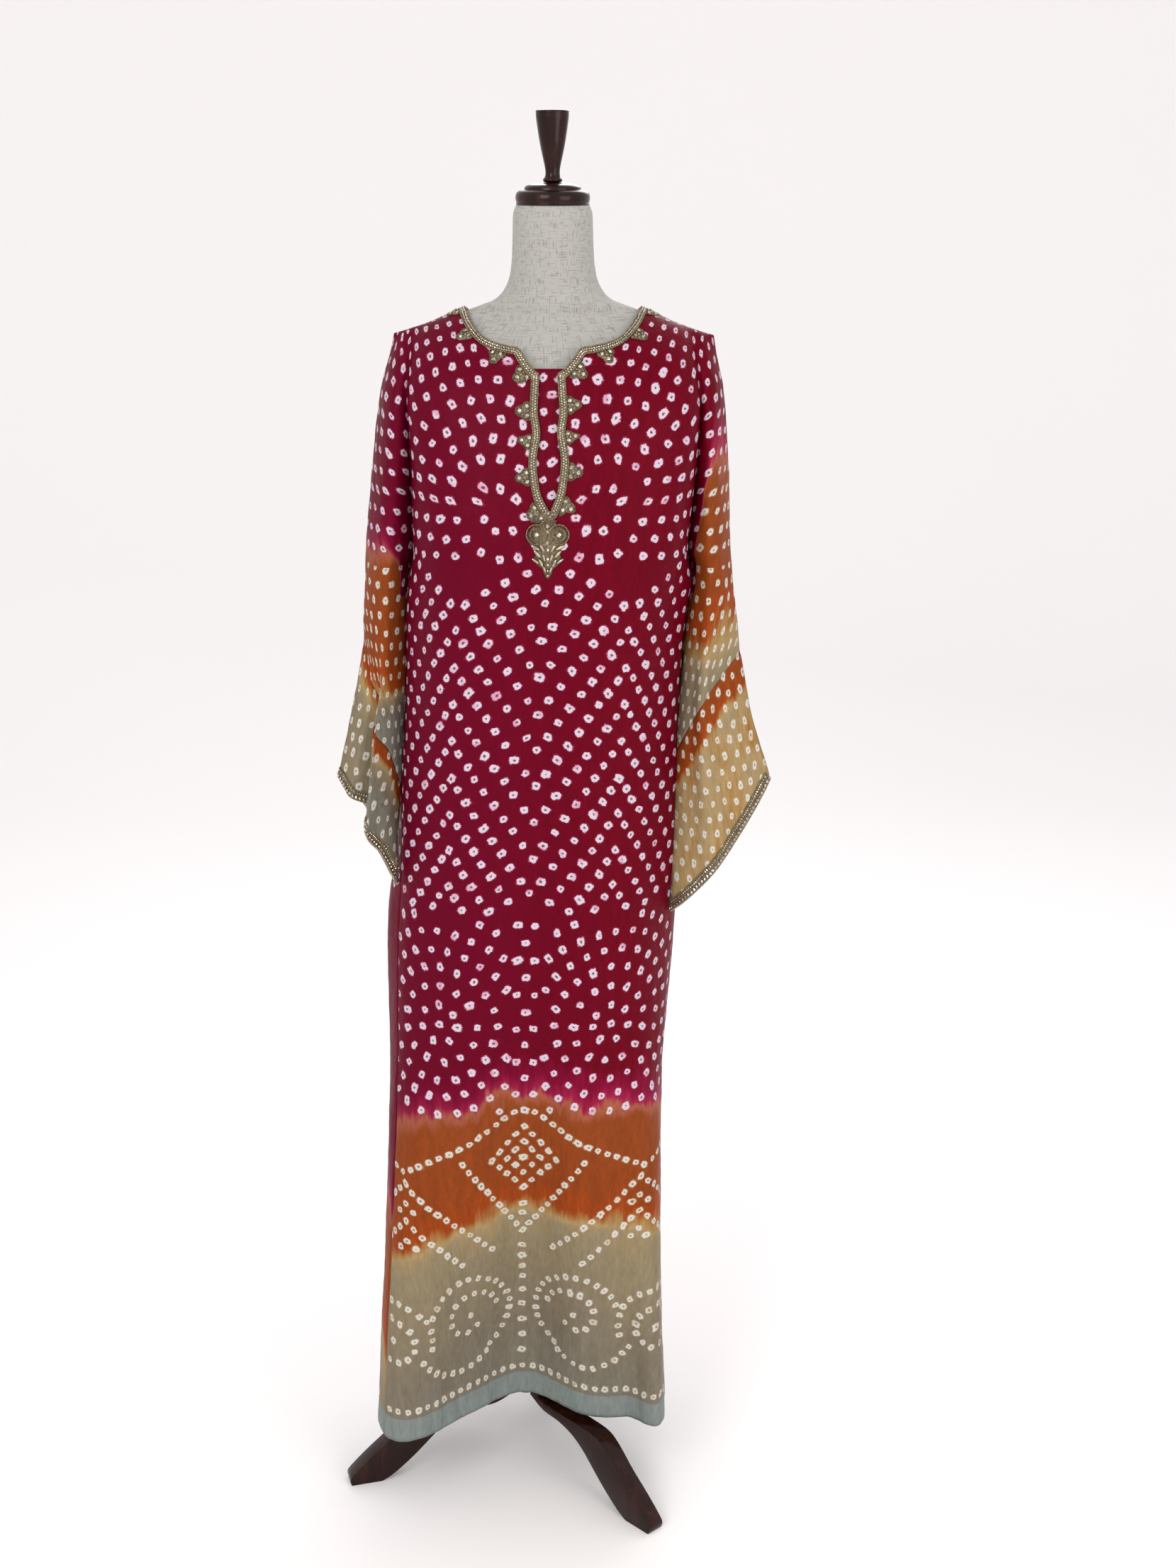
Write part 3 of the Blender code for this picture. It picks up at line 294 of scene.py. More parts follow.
# Side outline of a sawn leg: distance from the pole and height, top edge then underside
LEG_TOP = (
    Turn(HUB_RADIUS + FIT_GAP, 0.150), Turn(0.028, 0.139), Turn(0.036, 0.118),
    Turn(0.046, 0.109), Turn(0.090, 0.106), Turn(0.130, 0.105), Turn(0.158, 0.101),
    Turn(0.178, 0.087), Turn(0.202, 0.063), Turn(0.230, 0.039), Turn(0.253, 0.017),
    Turn(0.259, 0.008), Turn(0.257, 0.000),
)
LEG_UNDER = (
    Turn(0.214, 0.000), Turn(0.196, 0.010), Turn(0.170, 0.031), Turn(0.148, 0.052),
    Turn(0.128, 0.071), Turn(0.106, 0.085), Turn(0.080, 0.093), Turn(0.048, 0.097),
    Turn(HUB_RADIUS + FIT_GAP, 0.110),
)

# Half width of the motif that hangs below the slit, by height
Motif = namedtuple("Motif", "height half")
PENDANT = (
    Motif(1.2995, 0.0014), Motif(1.3060, 0.0050), Motif(1.3120, 0.0070),
    Motif(1.3180, 0.0150), Motif(1.3250, 0.0180), Motif(1.3330, 0.0150),
    Motif(1.3420, 0.0230), Motif(1.3500, 0.0262), Motif(1.3580, 0.0245),
    Motif(1.3655, 0.0150), Motif(1.3690, 0.0040),
)


@lru_cache(maxsize=None)
def read(table, place, column):
    """Value of a column at a place along the table's first column, on a smooth curve."""
    rows = sorted(table)
    keys = [row[0] for row in rows]
    values = [getattr(row, column) for row in rows]
    if place <= keys[0]:
        return values[0]
    if place >= keys[-1]:
        return values[-1]
    last = len(keys) - 1
    start = max(i for i in range(last) if keys[i] <= place)

    def slope(i):
        low = max(i - 1, 0)
        high = min(i + 1, last)
        return (values[high] - values[low]) / (keys[high] - keys[low])

    step = keys[start + 1] - keys[start]
    t = (place - keys[start]) / step
    rise = values[start] * (1 + 2 * t) * (1 - t) ** 2 + values[start + 1] * t * t * (3 - 2 * t)
    lean = slope(start) * t * (1 - t) ** 2 - slope(start + 1) * t * t * (1 - t)
    return rise + lean * step


def mix(low, high, share):
    return low + (high - low) * share


def ease(share):
    """0 below 0, 1 above 1, soft between."""
    share = min(max(share, 0.0), 1.0)
    return share * share * (3 - 2 * share)


def bump(distance):
    """Soft hump: 1 in its middle, 0 from a distance of 1."""
    distance = abs(distance)
    if distance >= 1:
        return 0.0
    return (1 + cos(pi * distance)) / 2


def power(value, exponent):
    return max(value, 0.0) ** exponent


def fold_push(folds, across, height):
    """How far the folds move a point to the back."""
    push = 0.0
    for fold in folds:
        grown = ease((fold.top - height) / (fold.top - fold.deep))
        push += fold.push * grown * bump((across - fold.across) / (2 * fold.spread))
    return push


def seam_angle(side, height):
    if side == RIGHT:
        return pi / 2
    return radians(min(read(LEFT_SEAM, height, "angle"), 90.0))


def body_point(side, facing, share, height):
    """Point of the body: share 0 at the middle, 1 at the side seam or the valley's floor."""
    seam = seam_angle(side, height)
    turn = asin(min(share, 1.0) ** CROWDING) / (pi / 2)
    angle = turn * seam if facing == FRONT else pi - turn * (pi - seam)
    roundness = 2 / read(BODY, height, "square")
    across = power(sin(angle), roundness) * side
    if share == 0.0:
        across = 0.0
    reach = power(abs(cos(angle)), roundness)
    if abs(cos(angle)) < 1e-6:
        reach = 0.0
    x = read(BODY, height, "middle") + read(BODY, height, "half_width") * across
    x += side * side_swell(side, angle, height)
    if cos(angle) >= 0 and facing == FRONT or cos(angle) > 1e-6:
        floor = read(VALLEY, height, "front")
        depth = read(BODY, height, "front")
        y = -floor - (depth - floor) * reach
        y += fold_push(FRONT_FOLDS, across, height) * ease(3 * reach)
    else:
        floor = read(VALLEY, height, "back")
        depth = read(BODY, height, "back")
        y = floor + (depth - floor) * reach
        y += fold_push(BACK_FOLDS, across, height) * ease(3 * reach)
    if facing == FRONT:
        x += slit_shift(side, share, height)
        raised = ease((HEM_RISE_TOP - height) / (HEM_RISE_TOP - HEM_LEVEL))
        raised *= bump((across - HEM_RISE_PLACE) / HEM_RISE_SPREAD)
        return Vector((x, y, height + HEM_RISE * raised))
    return Vector((x, y, height))


def side_swell(side, angle, height):
    """How far the body's side stands out towards the hanging sleeve."""
    grown = ease((SWELL_TOP - height) / SWELL_TOP_FADE)
    grown *= ease((height - SWELL_FOOT) / SWELL_FOOT_FADE)
    return SWELL[side] * grown * bump((angle - SWELL_ANGLE) / SWELL_SPREAD)


def slit_shift(side, share, height):
    """Sideways move that opens the slit, fading out away from it."""
    if height <= SLIT_BOTTOM:
        return 0.0
    fade = max(0.0, 1 - share / SLIT_FADE) ** 2
    half = read(SLIT, height, "half")
    return (side * half + read(SLIT, height, "middle") - read(BODY, height, "middle")) * fade


def outer_table(side):
    return RIGHT_OUTER if side == RIGHT else LEFT_OUTER


def top_point(side, facing, share):
    """Point of the top edge: neckline, then the shoulder fold.  Share 2 is its corner."""
    corner_row = max(outer_table(side))
    corner = Vector((side * corner_row.out, 0.0, corner_row.height))
    neck = FRONT_NECK if facing == FRONT else BACK_NECK
    if share < NECK_SHARE:
        place = share / NECK_SHARE
        out = read(neck, place, "out")
        drift = read(SLIT, 1.55, "middle") if facing == FRONT else 0.0
        x = side * out + drift * (1 - place)
        return Vector((x, -read(neck, place, "forward"), read(neck, place, "height")))
    point = max(neck)
    start = Vector((side * point.out, 0.0, point.height))
    turn = start.lerp(corner, (VALLEY_START - point.out) / (corner_row.out - point.out))
    if share <= 1:
        return start.lerp(turn, (share - NECK_SHARE) / (1 - NECK_SHARE))
    return turn.lerp(corner, share - 1)


def crease_move(side, share, along):
    """Move out, forward of the lengthwise crease in a sleeve's front."""
    table = RIGHT_CREASE if side == RIGHT else LEFT_CREASE
    edge = bump((share - CREASE_EDGE) / CREASE_SPREAD)
    dip = bump((share - CREASE_DIP) / CREASE_SPREAD)
    out = edge * read(table, along, "edge_out") + dip * read(table, along, "dip_out")
    forward = edge * read(table, along, "edge_fwd") + dip * read(table, along, "dip_fwd")
    return Vector((side * out, -forward, 0.0))


def sleeve_cap_point(side, facing, share, height):
    """Point of the sleeve above the underarm: share 0 on the valley's floor, 1 outside."""
    floor = body_point(side, facing, 1.0, height)
    table = outer_table(side)
    outer = Vector((side * read(table, height, "out"), -read(table, height, "forward"), height))
    first = (RIGHT_SLEEVE if side == RIGHT else LEFT_SLEEVE)[0]
    full = first.front if facing == FRONT else first.back
    bulge = mix(CAP_BULGE, full, ease((CAP_TOP - height) / CAP_FADE))
    point = floor.lerp(outer, share)
    point.y += facing * bulge * power(sin(pi * share), SLEEVE_ROUND) if 0 < share < 1 else 0.0
    if facing == FRONT:
        point += crease_move(side, share, 0.0) * ease((SHOULDER_LEVEL - height) / 0.2)
    return point


def level_point(side, facing, share, height):
    if share <= 1:
        return body_point(side, facing, share, height)
    return sleeve_cap_point(side, facing, share - 1, height)


def yoke_point(side, facing, share, down):
    """Point between the top edge (down 0) and the shoulder level (down 1)."""
    top = top_point(side, facing, share)
    level = level_point(side, facing, share, SHOULDER_LEVEL)
    bend = mix(1.0, 0.72, ease((share - 0.3) / 0.4))
    lead = power(down, bend)
    forward = 0.35 * lead + 0.65 * sin(lead * pi / 2)
    x = mix(top.x, level.x, ease(down))
    return Vector((x, mix(top.y, level.y, forward), mix(top.z, level.z, down)))


def sleeve_point(side, facing, share, along):
    """Point of the hanging sleeve: share 0 at the underarm seam, 1 on the outer fold."""
    table = RIGHT_SLEEVE if side == RIGHT else LEFT_SLEEVE
    row = {name: read(table, along, name) for name in Ring._fields[1:]}
    inner = Vector((side * row["out_i"], -row["fwd_i"], row["high_i"]))
    outer = Vector((side * row["out_o"], -row["fwd_o"], row["high_o"]))
    start = max(0.0, 1 - along / JOIN_SHARE)
    first = table[0]
    edge = outer_table(side)
    outer_start = Vector((side * read(edge, UNDERARM_LEVEL, "out"),
                          -read(edge, UNDERARM_LEVEL, "forward"), UNDERARM_LEVEL))
    inner += (body_point(side, FRONT, 1.0, UNDERARM_LEVEL)
              - Vector((side * first.out_i, -first.fwd_i, first.high_i))) * start
    outer += (outer_start - Vector((side * first.out_o, -first.fwd_o, first.high_o))) * start
    point = inner.lerp(outer, share)
    if not 0 < share < 1:
        return point
    bulge = row["front"] if facing == FRONT else row["back"]
    roundness = mix(SLEEVE_ROUND, CUFF_ROUND, along / 2)
    point.y += facing * bulge * power(sin(pi * share), roundness)
    point.z += row["bow"] * 4 * share * (1 - share)
    if facing == FRONT:
        point += crease_move(side, share, along)
    return point


# The fine silk: samples to a curve, columns and rows, wall, seams, levels of the dyes
DENSE = 40
MIDDLE_COLUMNS = 20
SIDE_COLUMNS = 36
SLEEVE_COLUMNS = 30
WAIST_COLUMN = MIDDLE_COLUMNS + SIDE_COLUMNS
YOKE_ROWS = 20
CHEST_ROWS = 36
BODY_ROWS = 214
SLEEVE_ROWS = 44
END_ROWS = 38
SILK_WALL = 0.0016
HEM_STITCH = 0.146
SEAM_DIP = 0.0005
ORANGE_LEVEL = 0.607
TAN_LEVEL = 0.438
BOLD_STEP = 0.17
FAR_DOT = 9.0
DOT_REACH = 3
WELD = 3e-5

# Dye of an end piece: at its seam, the distance that adds 1, and the most it reaches
EndDye = namedtuple("EndDye", "first reach most")
RIGHT_END = EndDye(1.35, 0.070, 2.11)
LEFT_END_INSIDE = EndDye(1.50, 0.045, 2.95)
LEFT_END_OUTSIDE = EndDye(1.80, 0.10, 2.45)

# Small folds: how high, waves to a metre sideways and upwards, start of the noise
Wave = namedtuple("Wave", "rise across up start_x start_y")
LONG_FOLDS = Wave(0.0024, 15, 2.4, 0, 3)
SHORT_FOLDS = Wave(0.0011, 42, 13, 7, 0)
CRUMPLES = Wave(0.0005, 105, 62, 0, 5)
HEM_PUCKERS_TOP = 0.20
STITCH_DIP = 0.0006
STITCH_WIDTH = 0.004
PUCKER_RISE = 0.0007
PUCKER_PITCH = 0.021
PUCKER_LEVEL = 0.138
PUCKER_SPREAD = 0.045
UNDERLAP_WALL = 0.0011
UNDERLAP_ROWS = 52
UNDERLAP_COLUMNS = 16
UNDERLAP_EDGE = 0.0002
PIECES = ("front", "back", "right_sleeve_end", "left_sleeve_end")

# Rounds of smoothing above each level, then of the shoulder corners from ever further out
SOFTENED = ((1.36, 4), (1.44, 6), (1.50, 8), (1.55, 8))
SOFT_START = 0.158
CORNER_ROUNDS = 12
CORNER_START = 0.130
CORNER_STEP = 0.0045

# A tied dot: place across and up the cloth, half size, turn, how much longer than wide
Dot = namedtuple("Dot", "across up half turn stretch")
CRIMSON_DOT = 0.0051
LINE_DOT = 0.0045
LINE_PITCH = 0.0152
HEART_DOT = 0.0056
DOT_SCATTER = 0.0011
DOT_NEAREST = 0.0085
RING_PITCH = 0.0245
RING_STEP = 0.0235
ROW_PITCH = 0.0268
ROW_STEP = 0.0237
ARCH_WIDTH = 0.108
TORSO_TOP = 1.318
TORSO_FOOT = 0.866


def run_lengths(points):
    """Length along a line of points, at each of them."""
    lengths = [0.0]
    for a, b in zip(points, points[1:]):
        lengths.append(lengths[-1] + (b - a).length)
    return lengths


def even_points(point_at, low, high, count):
    """Points at even steps of length along a curve, from samples crowded to its ends."""
    dense = [point_at(mix(low, high, (1 - cos(pi * k / DENSE)) / 2)) for k in range(DENSE + 1)]
    lengths = run_lengths(dense)
    row = []
    k = 0
    for i in range(count + 1):
        place = lengths[-1] * i / count
        while k < DENSE - 1 and lengths[k + 1] < place:
            k += 1
        share = (place - lengths[k]) / max(lengths[k + 1] - lengths[k], 1e-9)
        row.append(dense[k].lerp(dense[k + 1], min(share, 1.0)))
    return row


def body_row(point_at):
    return even_points(point_at, 0, NECK_SHARE, MIDDLE_COLUMNS) + even_points(
        point_at, NECK_SHARE, 1, SIDE_COLUMNS)[1:]


def whole_row(point_at):
    return body_row(point_at) + even_points(point_at, 1, 2, SLEEVE_COLUMNS)[1:]


def hanging_point(side, facing, share, along):
    """Point of the hanging sleeve, made to meet the sleeve cap at the underarm."""
    point = sleeve_point(side, facing, share, along)
    fade = max(0.0, 1 - along / JOIN_SHARE)
    if fade:
        cap = level_point(side, facing, 1 + share, UNDERARM_LEVEL)
        point += (cap - sleeve_point(side, facing, share, 0.0)) * fade
    return point


def body_dye(across, up):
    """Dye of the body: crimson to 1, orange to 2, tan above it, the turned hem above 3."""
    lean = 0.9 * across * across + 0.13 * max(0.0, -across - 0.02)
    first = ORANGE_LEVEL - lean
    second = TAN_LEVEL - lean
    if up > first:
        return 1 - (up - first) / BOLD_STEP
    if up > second:
        return 1 + (first - up) / (first - second)
    return min(2 + 0.16 * ease((second - up) / 0.018) + (second - up) / 0.40, 2.9)


def sleeve_dye(side, share, up):
    """Dye of a sleeve, which starts higher than the body's."""
    if side == RIGHT:
        first, second = 1.43, 1.20 + 0.03 * share
        return min(1 + (first - up) / (first - second), 2.75)
    first, second = 1.335 - 0.03 * share, 1.135
    value = 1 + (first - up) / (first - second)
    if value < 2:
        return value
    inner = 2 + (second - up) / 0.035
    outer = 2 + (second - up) / 0.25
    return min(mix(inner, outer, ease((share - 0.50) / 0.10)), 3.0)


def end_dye(side, share, gone):
    """Dye of a sleeve's end piece: gone is the distance from its seam."""
    if side == RIGHT:
        row = RIGHT_END
    else:
        row = LEFT_END_INSIDE if share < CREASE_DIP else LEFT_END_OUTSIDE
    return min(row.first + gone / row.reach, row.most)


class Cloth:
    """All the silk as one fine sheet, each corner with its place on the cloth and its dye."""

    def __init__(self):
        self.sheet = bmesh.new()
        uv = self.sheet.loops.layers.uv
        self.place = uv.new("cloth")
        self.dye = uv.new("dye")
        self.dot = uv.new("dot")
        self.next_dot = uv.new("next_dot")
        self.piece = self.sheet.faces.layers.int.new("piece")

    def add_patch(self, piece, rows, marks, flip, dots):
        """A grid through rows of points; marks holds each one's (across, up, dye)."""
        columns = len(rows[0]) - 1
        steps = len(rows) - 1
        grid = bmesh.ops.create_grid(self.sheet, x_segments=columns, y_segments=steps, size=0.5)
        cells = {}
        for vert in grid["verts"]:
            cells[vert] = (round((0.5 - vert.co.y) * steps), round((vert.co.x + 0.5) * columns))
        faces = {face for vert in grid["verts"] for face in vert.link_faces}
        for face in faces:
            face[self.piece] = PIECES.index(piece)
            corners = []
            for loop in face.loops:
                i, j = cells[loop.vert]
                across, up, dye = marks[i][j]
                loop[self.place].uv = (across, up)
                loop[self.dye].uv = (dye, 0.0)
                corners.append(Vector((across, up, 0.0)))
            self.tie_dots(face, corners, dots)
        for vert, (i, j) in cells.items():
            vert.co = rows[i][j] + NECK_AXIS
        if flip:
            bmesh.ops.reverse_faces(self.sheet, faces=list(faces))

    def tie_dots(self, face, corners, dots):
        """Each corner's place from the centres of the two nearest dots, in half sizes."""
        middle = sum(corners, Vector()) / len(corners)
        found = dots.tree.find_n(middle, 2)
        for layer, (centre, index, distance) in zip((self.dot, self.next_dot), found):
            dot = dots.dots[index]
            for loop, corner in zip(face.loops, corners):
                if distance > DOT_REACH * dot.half:
                    loop[layer].uv = (FAR_DOT, FAR_DOT)
                else:
                    away = corner - centre
                    long = away.x * cos(dot.turn) + away.y * sin(dot.turn)
                    wide = away.y * cos(dot.turn) - away.x * sin(dot.turn)
                    loop[layer].uv = (long / dot.half / dot.stretch, wide / dot.half)

    def add_half(self, side, facing, body_dots, sleeve_dots):
        """One half of the front or back, with its half of a sleeve and end piece."""
        piece = "front" if facing == FRONT else "back"
        end = "right_sleeve_end" if side == RIGHT else "left_sleeve_end"
        flip = side * facing == 1
        chest = []
        for i in range(CHEST_ROWS + 1):
            height = mix(SHOULDER_LEVEL, UNDERARM_LEVEL, i / CHEST_ROWS)
            chest.append((height, whole_row(lambda c: level_point(side, facing, c, height))))
        self.add_patch(piece, [row for height, row in chest],
                       [self.level_marks(side, row, height) for height, row in chest],
                       flip, body_dots)
        rows = [whole_row(lambda c: yoke_point(side, facing, c, k / YOKE_ROWS))
                for k in range(YOKE_ROWS + 1)]
        marks = [self.level_marks(side, rows[-1], SHOULDER_LEVEL)]
        for below, above in zip(reversed(rows), list(reversed(rows))[1:]):
            marks.append([(across, up + (a - b).length, dye - (a - b).length / BOLD_STEP)
                          for (across, up, dye), a, b in zip(marks[-1], above, below)])
        self.add_patch(piece, rows, marks[::-1], flip, body_dots)
        rows = []
        marks = []
        for i in range(BODY_ROWS + 1):
            height = mix(UNDERARM_LEVEL, HEM_LEVEL, i / BODY_ROWS)
            rows.append(body_row(lambda c: body_point(side, facing, c, height)))
            marks.append(self.level_marks(side, rows[-1], height))
        self.add_patch(piece, rows, marks, flip, body_dots)
        start = run_lengths(chest[-1][1])[WAIST_COLUMN]
        self.add_sleeve(side, facing, piece, end, start, flip, sleeve_dots)

    def level_marks(self, side, row, height):
        marks = []
        for j, length in enumerate(run_lengths(row)):
            dye = body_dye(side * length, height)
            if j > WAIST_COLUMN:
                share = (j - WAIST_COLUMN) / SLEEVE_COLUMNS
                dye = mix(dye, max(sleeve_dye(side, share, height), 0.0), ease(share / 0.3))
            marks.append((side * length, height, dye))
        return marks

    def add_sleeve(self, side, facing, piece, end, start, flip, dots):
        """The hanging sleeve down to its seam, then the end piece."""
        shares = [j / SLEEVE_COLUMNS for j in range(SLEEVE_COLUMNS + 1)]
        ups = [UNDERARM_LEVEL] * len(shares)
        for name, steps, low, high in ((piece, SLEEVE_ROWS, 0.0, 1.0), (end, END_ROWS, 1.0, 2.0)):
            rows = []
            marks = []
            gone = [0.0] * len(shares)
            for i in range(steps + 1):
                along = mix(low, high, i / steps)
                row = even_points(lambda c: hanging_point(side, facing, c, along), 0, 1,
                                  SLEEVE_COLUMNS)
                if rows:
                    moves = [(a - b).length for a, b in zip(row, rows[-1])]
                    ups = [up - move for up, move in zip(ups, moves)]
                    gone = [total + move for total, move in zip(gone, moves)]
                line = []
                for length, share, up, far in zip(run_lengths(row), shares, ups, gone):
                    if name == end:
                        dye = end_dye(side, share, far)
                    else:
                        dye = mix(body_dye(side * start, up), sleeve_dye(side, share, up),
                                  max(ease(share / 0.3), ease(far / 0.05)))
                    line.append((side * (start + length), up, dye))
                rows.append(row)
                marks.append(line)
            self.add_patch(name, rows, marks, flip, dots)

    def outside(self, level, out):
        """Points above a level and further out from the neck axis than a distance."""
        return [vert for vert in self.sheet.verts if vert.co.z > level
                and abs(vert.co.x - NECK_AXIS.x) > out]

    def soften(self, verts):
        bmesh.ops.smooth_vert(self.sheet, verts=verts, factor=0.5,
                              use_axis_x=True, use_axis_y=True, use_axis_z=True)

    def drape(self):
        """Weld and soften the patches, then push every point by the small folds."""
        bmesh.ops.remove_doubles(self.sheet, verts=self.sheet.verts, dist=WELD)
        for level, rounds in SOFTENED:
            near = [vert for vert in self.outside(level, SOFT_START)
                    if len({face[self.piece] for face in vert.link_faces}) == 1]
            for k in range(rounds):
                self.soften(near)
        for k in range(CORNER_ROUNDS):
            self.soften([vert for vert in self.outside(SHOULDER_LEVEL, CORNER_START + CORNER_STEP * k)
                         if not vert.is_boundary])
        self.sheet.normal_update()
        moves = []
        for vert in self.sheet.verts:
            owners = {face[self.piece] for face in vert.link_faces}
            seam = SEAM_DIP if len(owners) > 1 else 0.0
            loop = vert.link_loops[0]
            lift = small_folds(vert.co - NECK_AXIS, loop[self.place].uv) - seam
            moves.append(vert.normal * lift)
        for vert, move in zip(self.sheet.verts, moves):
            vert.co += move
        self.sheet.normal_update()

    def cut_piece(self, name):
        """One sewn piece as an object of its own, with the wall of the silk."""
        part = self.sheet.copy()
        layer = part.faces.layers.int["piece"]
        other = [face for face in part.faces if face[layer] != PIECES.index(name)]
        bmesh.ops.delete(part, geom=other, context="FACES")
        item = finished_object("silk_" + name, part)
        add_wall(item, "wall", SILK_WALL, -1)
        return item

    def surface(self, name):
        """A sewn piece's outer side, to lay trim on."""
        number = PIECES.index(name)
        used = {}
        points = []
        faces = []
        for face in self.sheet.faces:
            if face[self.piece] == number:
                for vert in face.verts:
                    if vert not in used:
                        used[vert] = len(points)
                        points.append(vert.co.copy())
                faces.append([used[vert] for vert in face.verts])
        return BVHTree.FromPolygons(points, faces)


def wave_at(wave, point):
    return noise.noise(Vector((point.x * wave.across + wave.start_x,
                               point.y * wave.across + wave.start_y, point.z * wave.up)))


def small_folds(point, place):
    """How far the silk stands out of its smooth section, or falls back from it."""
    hang = ease((1.42 - point.z) / 0.45)
    long_folds = wave_at(LONG_FOLDS, point)
    push = (LONG_FOLDS.rise * mix(0.35, 1.0, hang) * long_folds
            + SHORT_FOLDS.rise * wave_at(SHORT_FOLDS, point)
            + CRUMPLES.rise * wave_at(CRUMPLES, point))
    across, up = place
    if up < HEM_PUCKERS_TOP:
        push -= STITCH_DIP * bump((up - HEM_STITCH) / STITCH_WIDTH)
        pucker = PUCKER_RISE * sin(2 * pi * across / PUCKER_PITCH + 5 * long_folds)
        push += pucker * bump((up - PUCKER_LEVEL) / PUCKER_SPREAD)
    if point.z > SHOULDER_LEVEL:
        push = mix(push, abs(push) * 0.5, ease((point.z - SHOULDER_LEVEL) / 0.05))
    return push


class DotLayout:
    """The tied dots of one region, each found from its place on the cloth."""

    def __init__(self):
        self.dots = []
        self.chance = random.Random(11)

    def add(self, across, up, half, turn=0.0, scatter=DOT_SCATTER):
        across += self.chance.uniform(-scatter, scatter)
        up += self.chance.uniform(-scatter, scatter)
        for dot in self.dots:
            if max(abs(dot.across - across), abs(dot.up - up)) < DOT_NEAREST:
                return
        self.dots.append(Dot(across, up, half * self.chance.uniform(0.86, 1.10),
                             turn + self.chance.uniform(-0.35, 0.35),
                             self.chance.uniform(1.0, 1.38)))

    def both(self, across, up, half, turn=0.0, scatter=DOT_SCATTER):
        for side in (RIGHT, LEFT):
            self.add(side * across, up, half, side * turn, scatter)

    def line(self, corners):
        """Dots along straight runs between corners, on both sides of the centre line."""
        for (a, b), (c, d) in zip(corners, corners[1:]):
            count = max(round(sqrt((c - a) ** 2 + (d - b) ** 2) / LINE_PITCH), 1)
            for i in range(count + 1):
                self.both(mix(a, c, i / count), mix(b, d, i / count), LINE_DOT,
                          atan2(d - b, c - a), 0.0006)

    def arc(self, middle, radius, start, end, pitch=LINE_PITCH, half=LINE_DOT, grow=0.0,
            keep=None):
        """Dots round a centre, from one angle to another in degrees, as a spiral if it grows."""
        angle = radians(start)
        last = radians(end)
        turn = 1 if last > angle else -1
        while (last - angle) * turn > 0:
            reach = radius + grow * abs(angle - radians(start))
            across = middle[0] + reach * cos(angle)
            up = middle[1] + reach * sin(angle)
            if keep is None or keep(across, up):
                self.both(across, up, half, angle)
            angle += turn * pitch / max(reach, 0.4 * pitch)

    def plant(self):
        self.tree = KDTree(len(self.dots))
        for i, dot in enumerate(self.dots):
            self.tree.insert((dot.across, dot.up, 0.0), i)
        self.tree.balance()
        return self


def row_fall(across):
    """Slope of a torso row and how far it has fallen: an arch, mirrored at every fold line."""
    turns, place = divmod(across, ARCH_WIDTH)
    if turns % 2:
        place = ARCH_WIDTH - place
    return 0.18 + 6.6 * place, 0.18 * place + 3.3 * place * place


def lay_out_body():
    layout = DotLayout()
    # Chest: rings round two medallions
    medallion = (0.056, 1.388)
    layout.arc(medallion, 0.027, 20, 379, 0.0212, CRIMSON_DOT)
    for ring in range(15):
        radius = 0.060 + RING_STEP * ring
        layout.arc(medallion, radius, -179, 180, RING_PITCH, CRIMSON_DOT,
                   keep=lambda a, u: a > 0.006 and u > 1.322)
    # Torso: rows that fall to both sides of the centre line
    for row in range(22):
        apex = TORSO_TOP - ROW_STEP * row
        if not row % 2 and apex > TORSO_FOOT:
            layout.add(0.0, apex + 0.004, HEART_DOT)
        across = 0.0135 if row % 2 else ROW_PITCH
        while across < 0.36:
            slope, up = row_fall(across)
            if apex - up > TORSO_FOOT:
                layout.both(across, apex - up, CRIMSON_DOT, -slope)
            across += ROW_PITCH / sqrt(1 + slope * slope)
    # Lower crimson: arcs round a lozenge on each side, double dots down the centre
    for i in range(6):
        layout.both(0.011, 0.852 - 0.048 * i, CRIMSON_DOT)
        layout.add(0.0, 0.828 - 0.048 * i, CRIMSON_DOT)
    for radius in (0.0, 0.026, 0.052, 0.078, 0.102, 0.126, 0.150):
        layout.arc((0.115, 0.715), radius, -179, 180, RING_PITCH, CRIMSON_DOT,
                   keep=lambda a, u: 0.022 < a and 0.585 < u < 0.86)
    # Orange and tan: figures in close lines of small dots
    diamond = ((0.0, 0.563), (0.045, 0.515), (0.0, 0.467))
    layout.line(diamond)
    layout.line(((0.0, 0.539), (0.022, 0.515), (0.0, 0.491)))
    layout.add(0.0, 0.515, HEART_DOT)
    layout.line(((0.014, 0.585), (0.075, 0.545), (0.170, 0.500), (0.245, 0.520)))
    layout.line(((0.085, 0.515), (0.0, 0.395)))
    layout.line(((0.045, 0.375), (0.165, 0.485), (0.245, 0.420)))
    layout.line(((0.090, 0.360), (0.165, 0.435), (0.245, 0.365)))
    for apex in (0.458, 0.408):
        layout.both(0.165, apex, LINE_DOT)
        layout.both(0.154, apex - 0.010, LINE_DOT)
        layout.both(0.176, apex - 0.010, LINE_DOT)
    for up in (0.441, 0.425, 0.370, 0.352, 0.334, 0.316, 0.292, 0.268, 0.240, 0.212, 0.186):
        layout.add(0.0, up, HEART_DOT * 0.9)
    layout.arc((0.081, 0.270), 0.004, 90, 540, grow=0.0055)
    layout.arc((0.081, 0.270), 0.063, 20, 250)
    layout.arc((0.098, 0.262), 0.072, -150, -20)
    layout.arc((0.200, 0.262), 0.030, 0, 359)
    layout.arc((0.200, 0.262), 0.056, -20, 200)
    layout.both(0.200, 0.262, HEART_DOT)
    across = 0.0
    while across < 0.40:
        layout.both(across, 0.158, LINE_DOT, pi / 2, 0.0005)
        across += 0.0145
    return layout.plant()


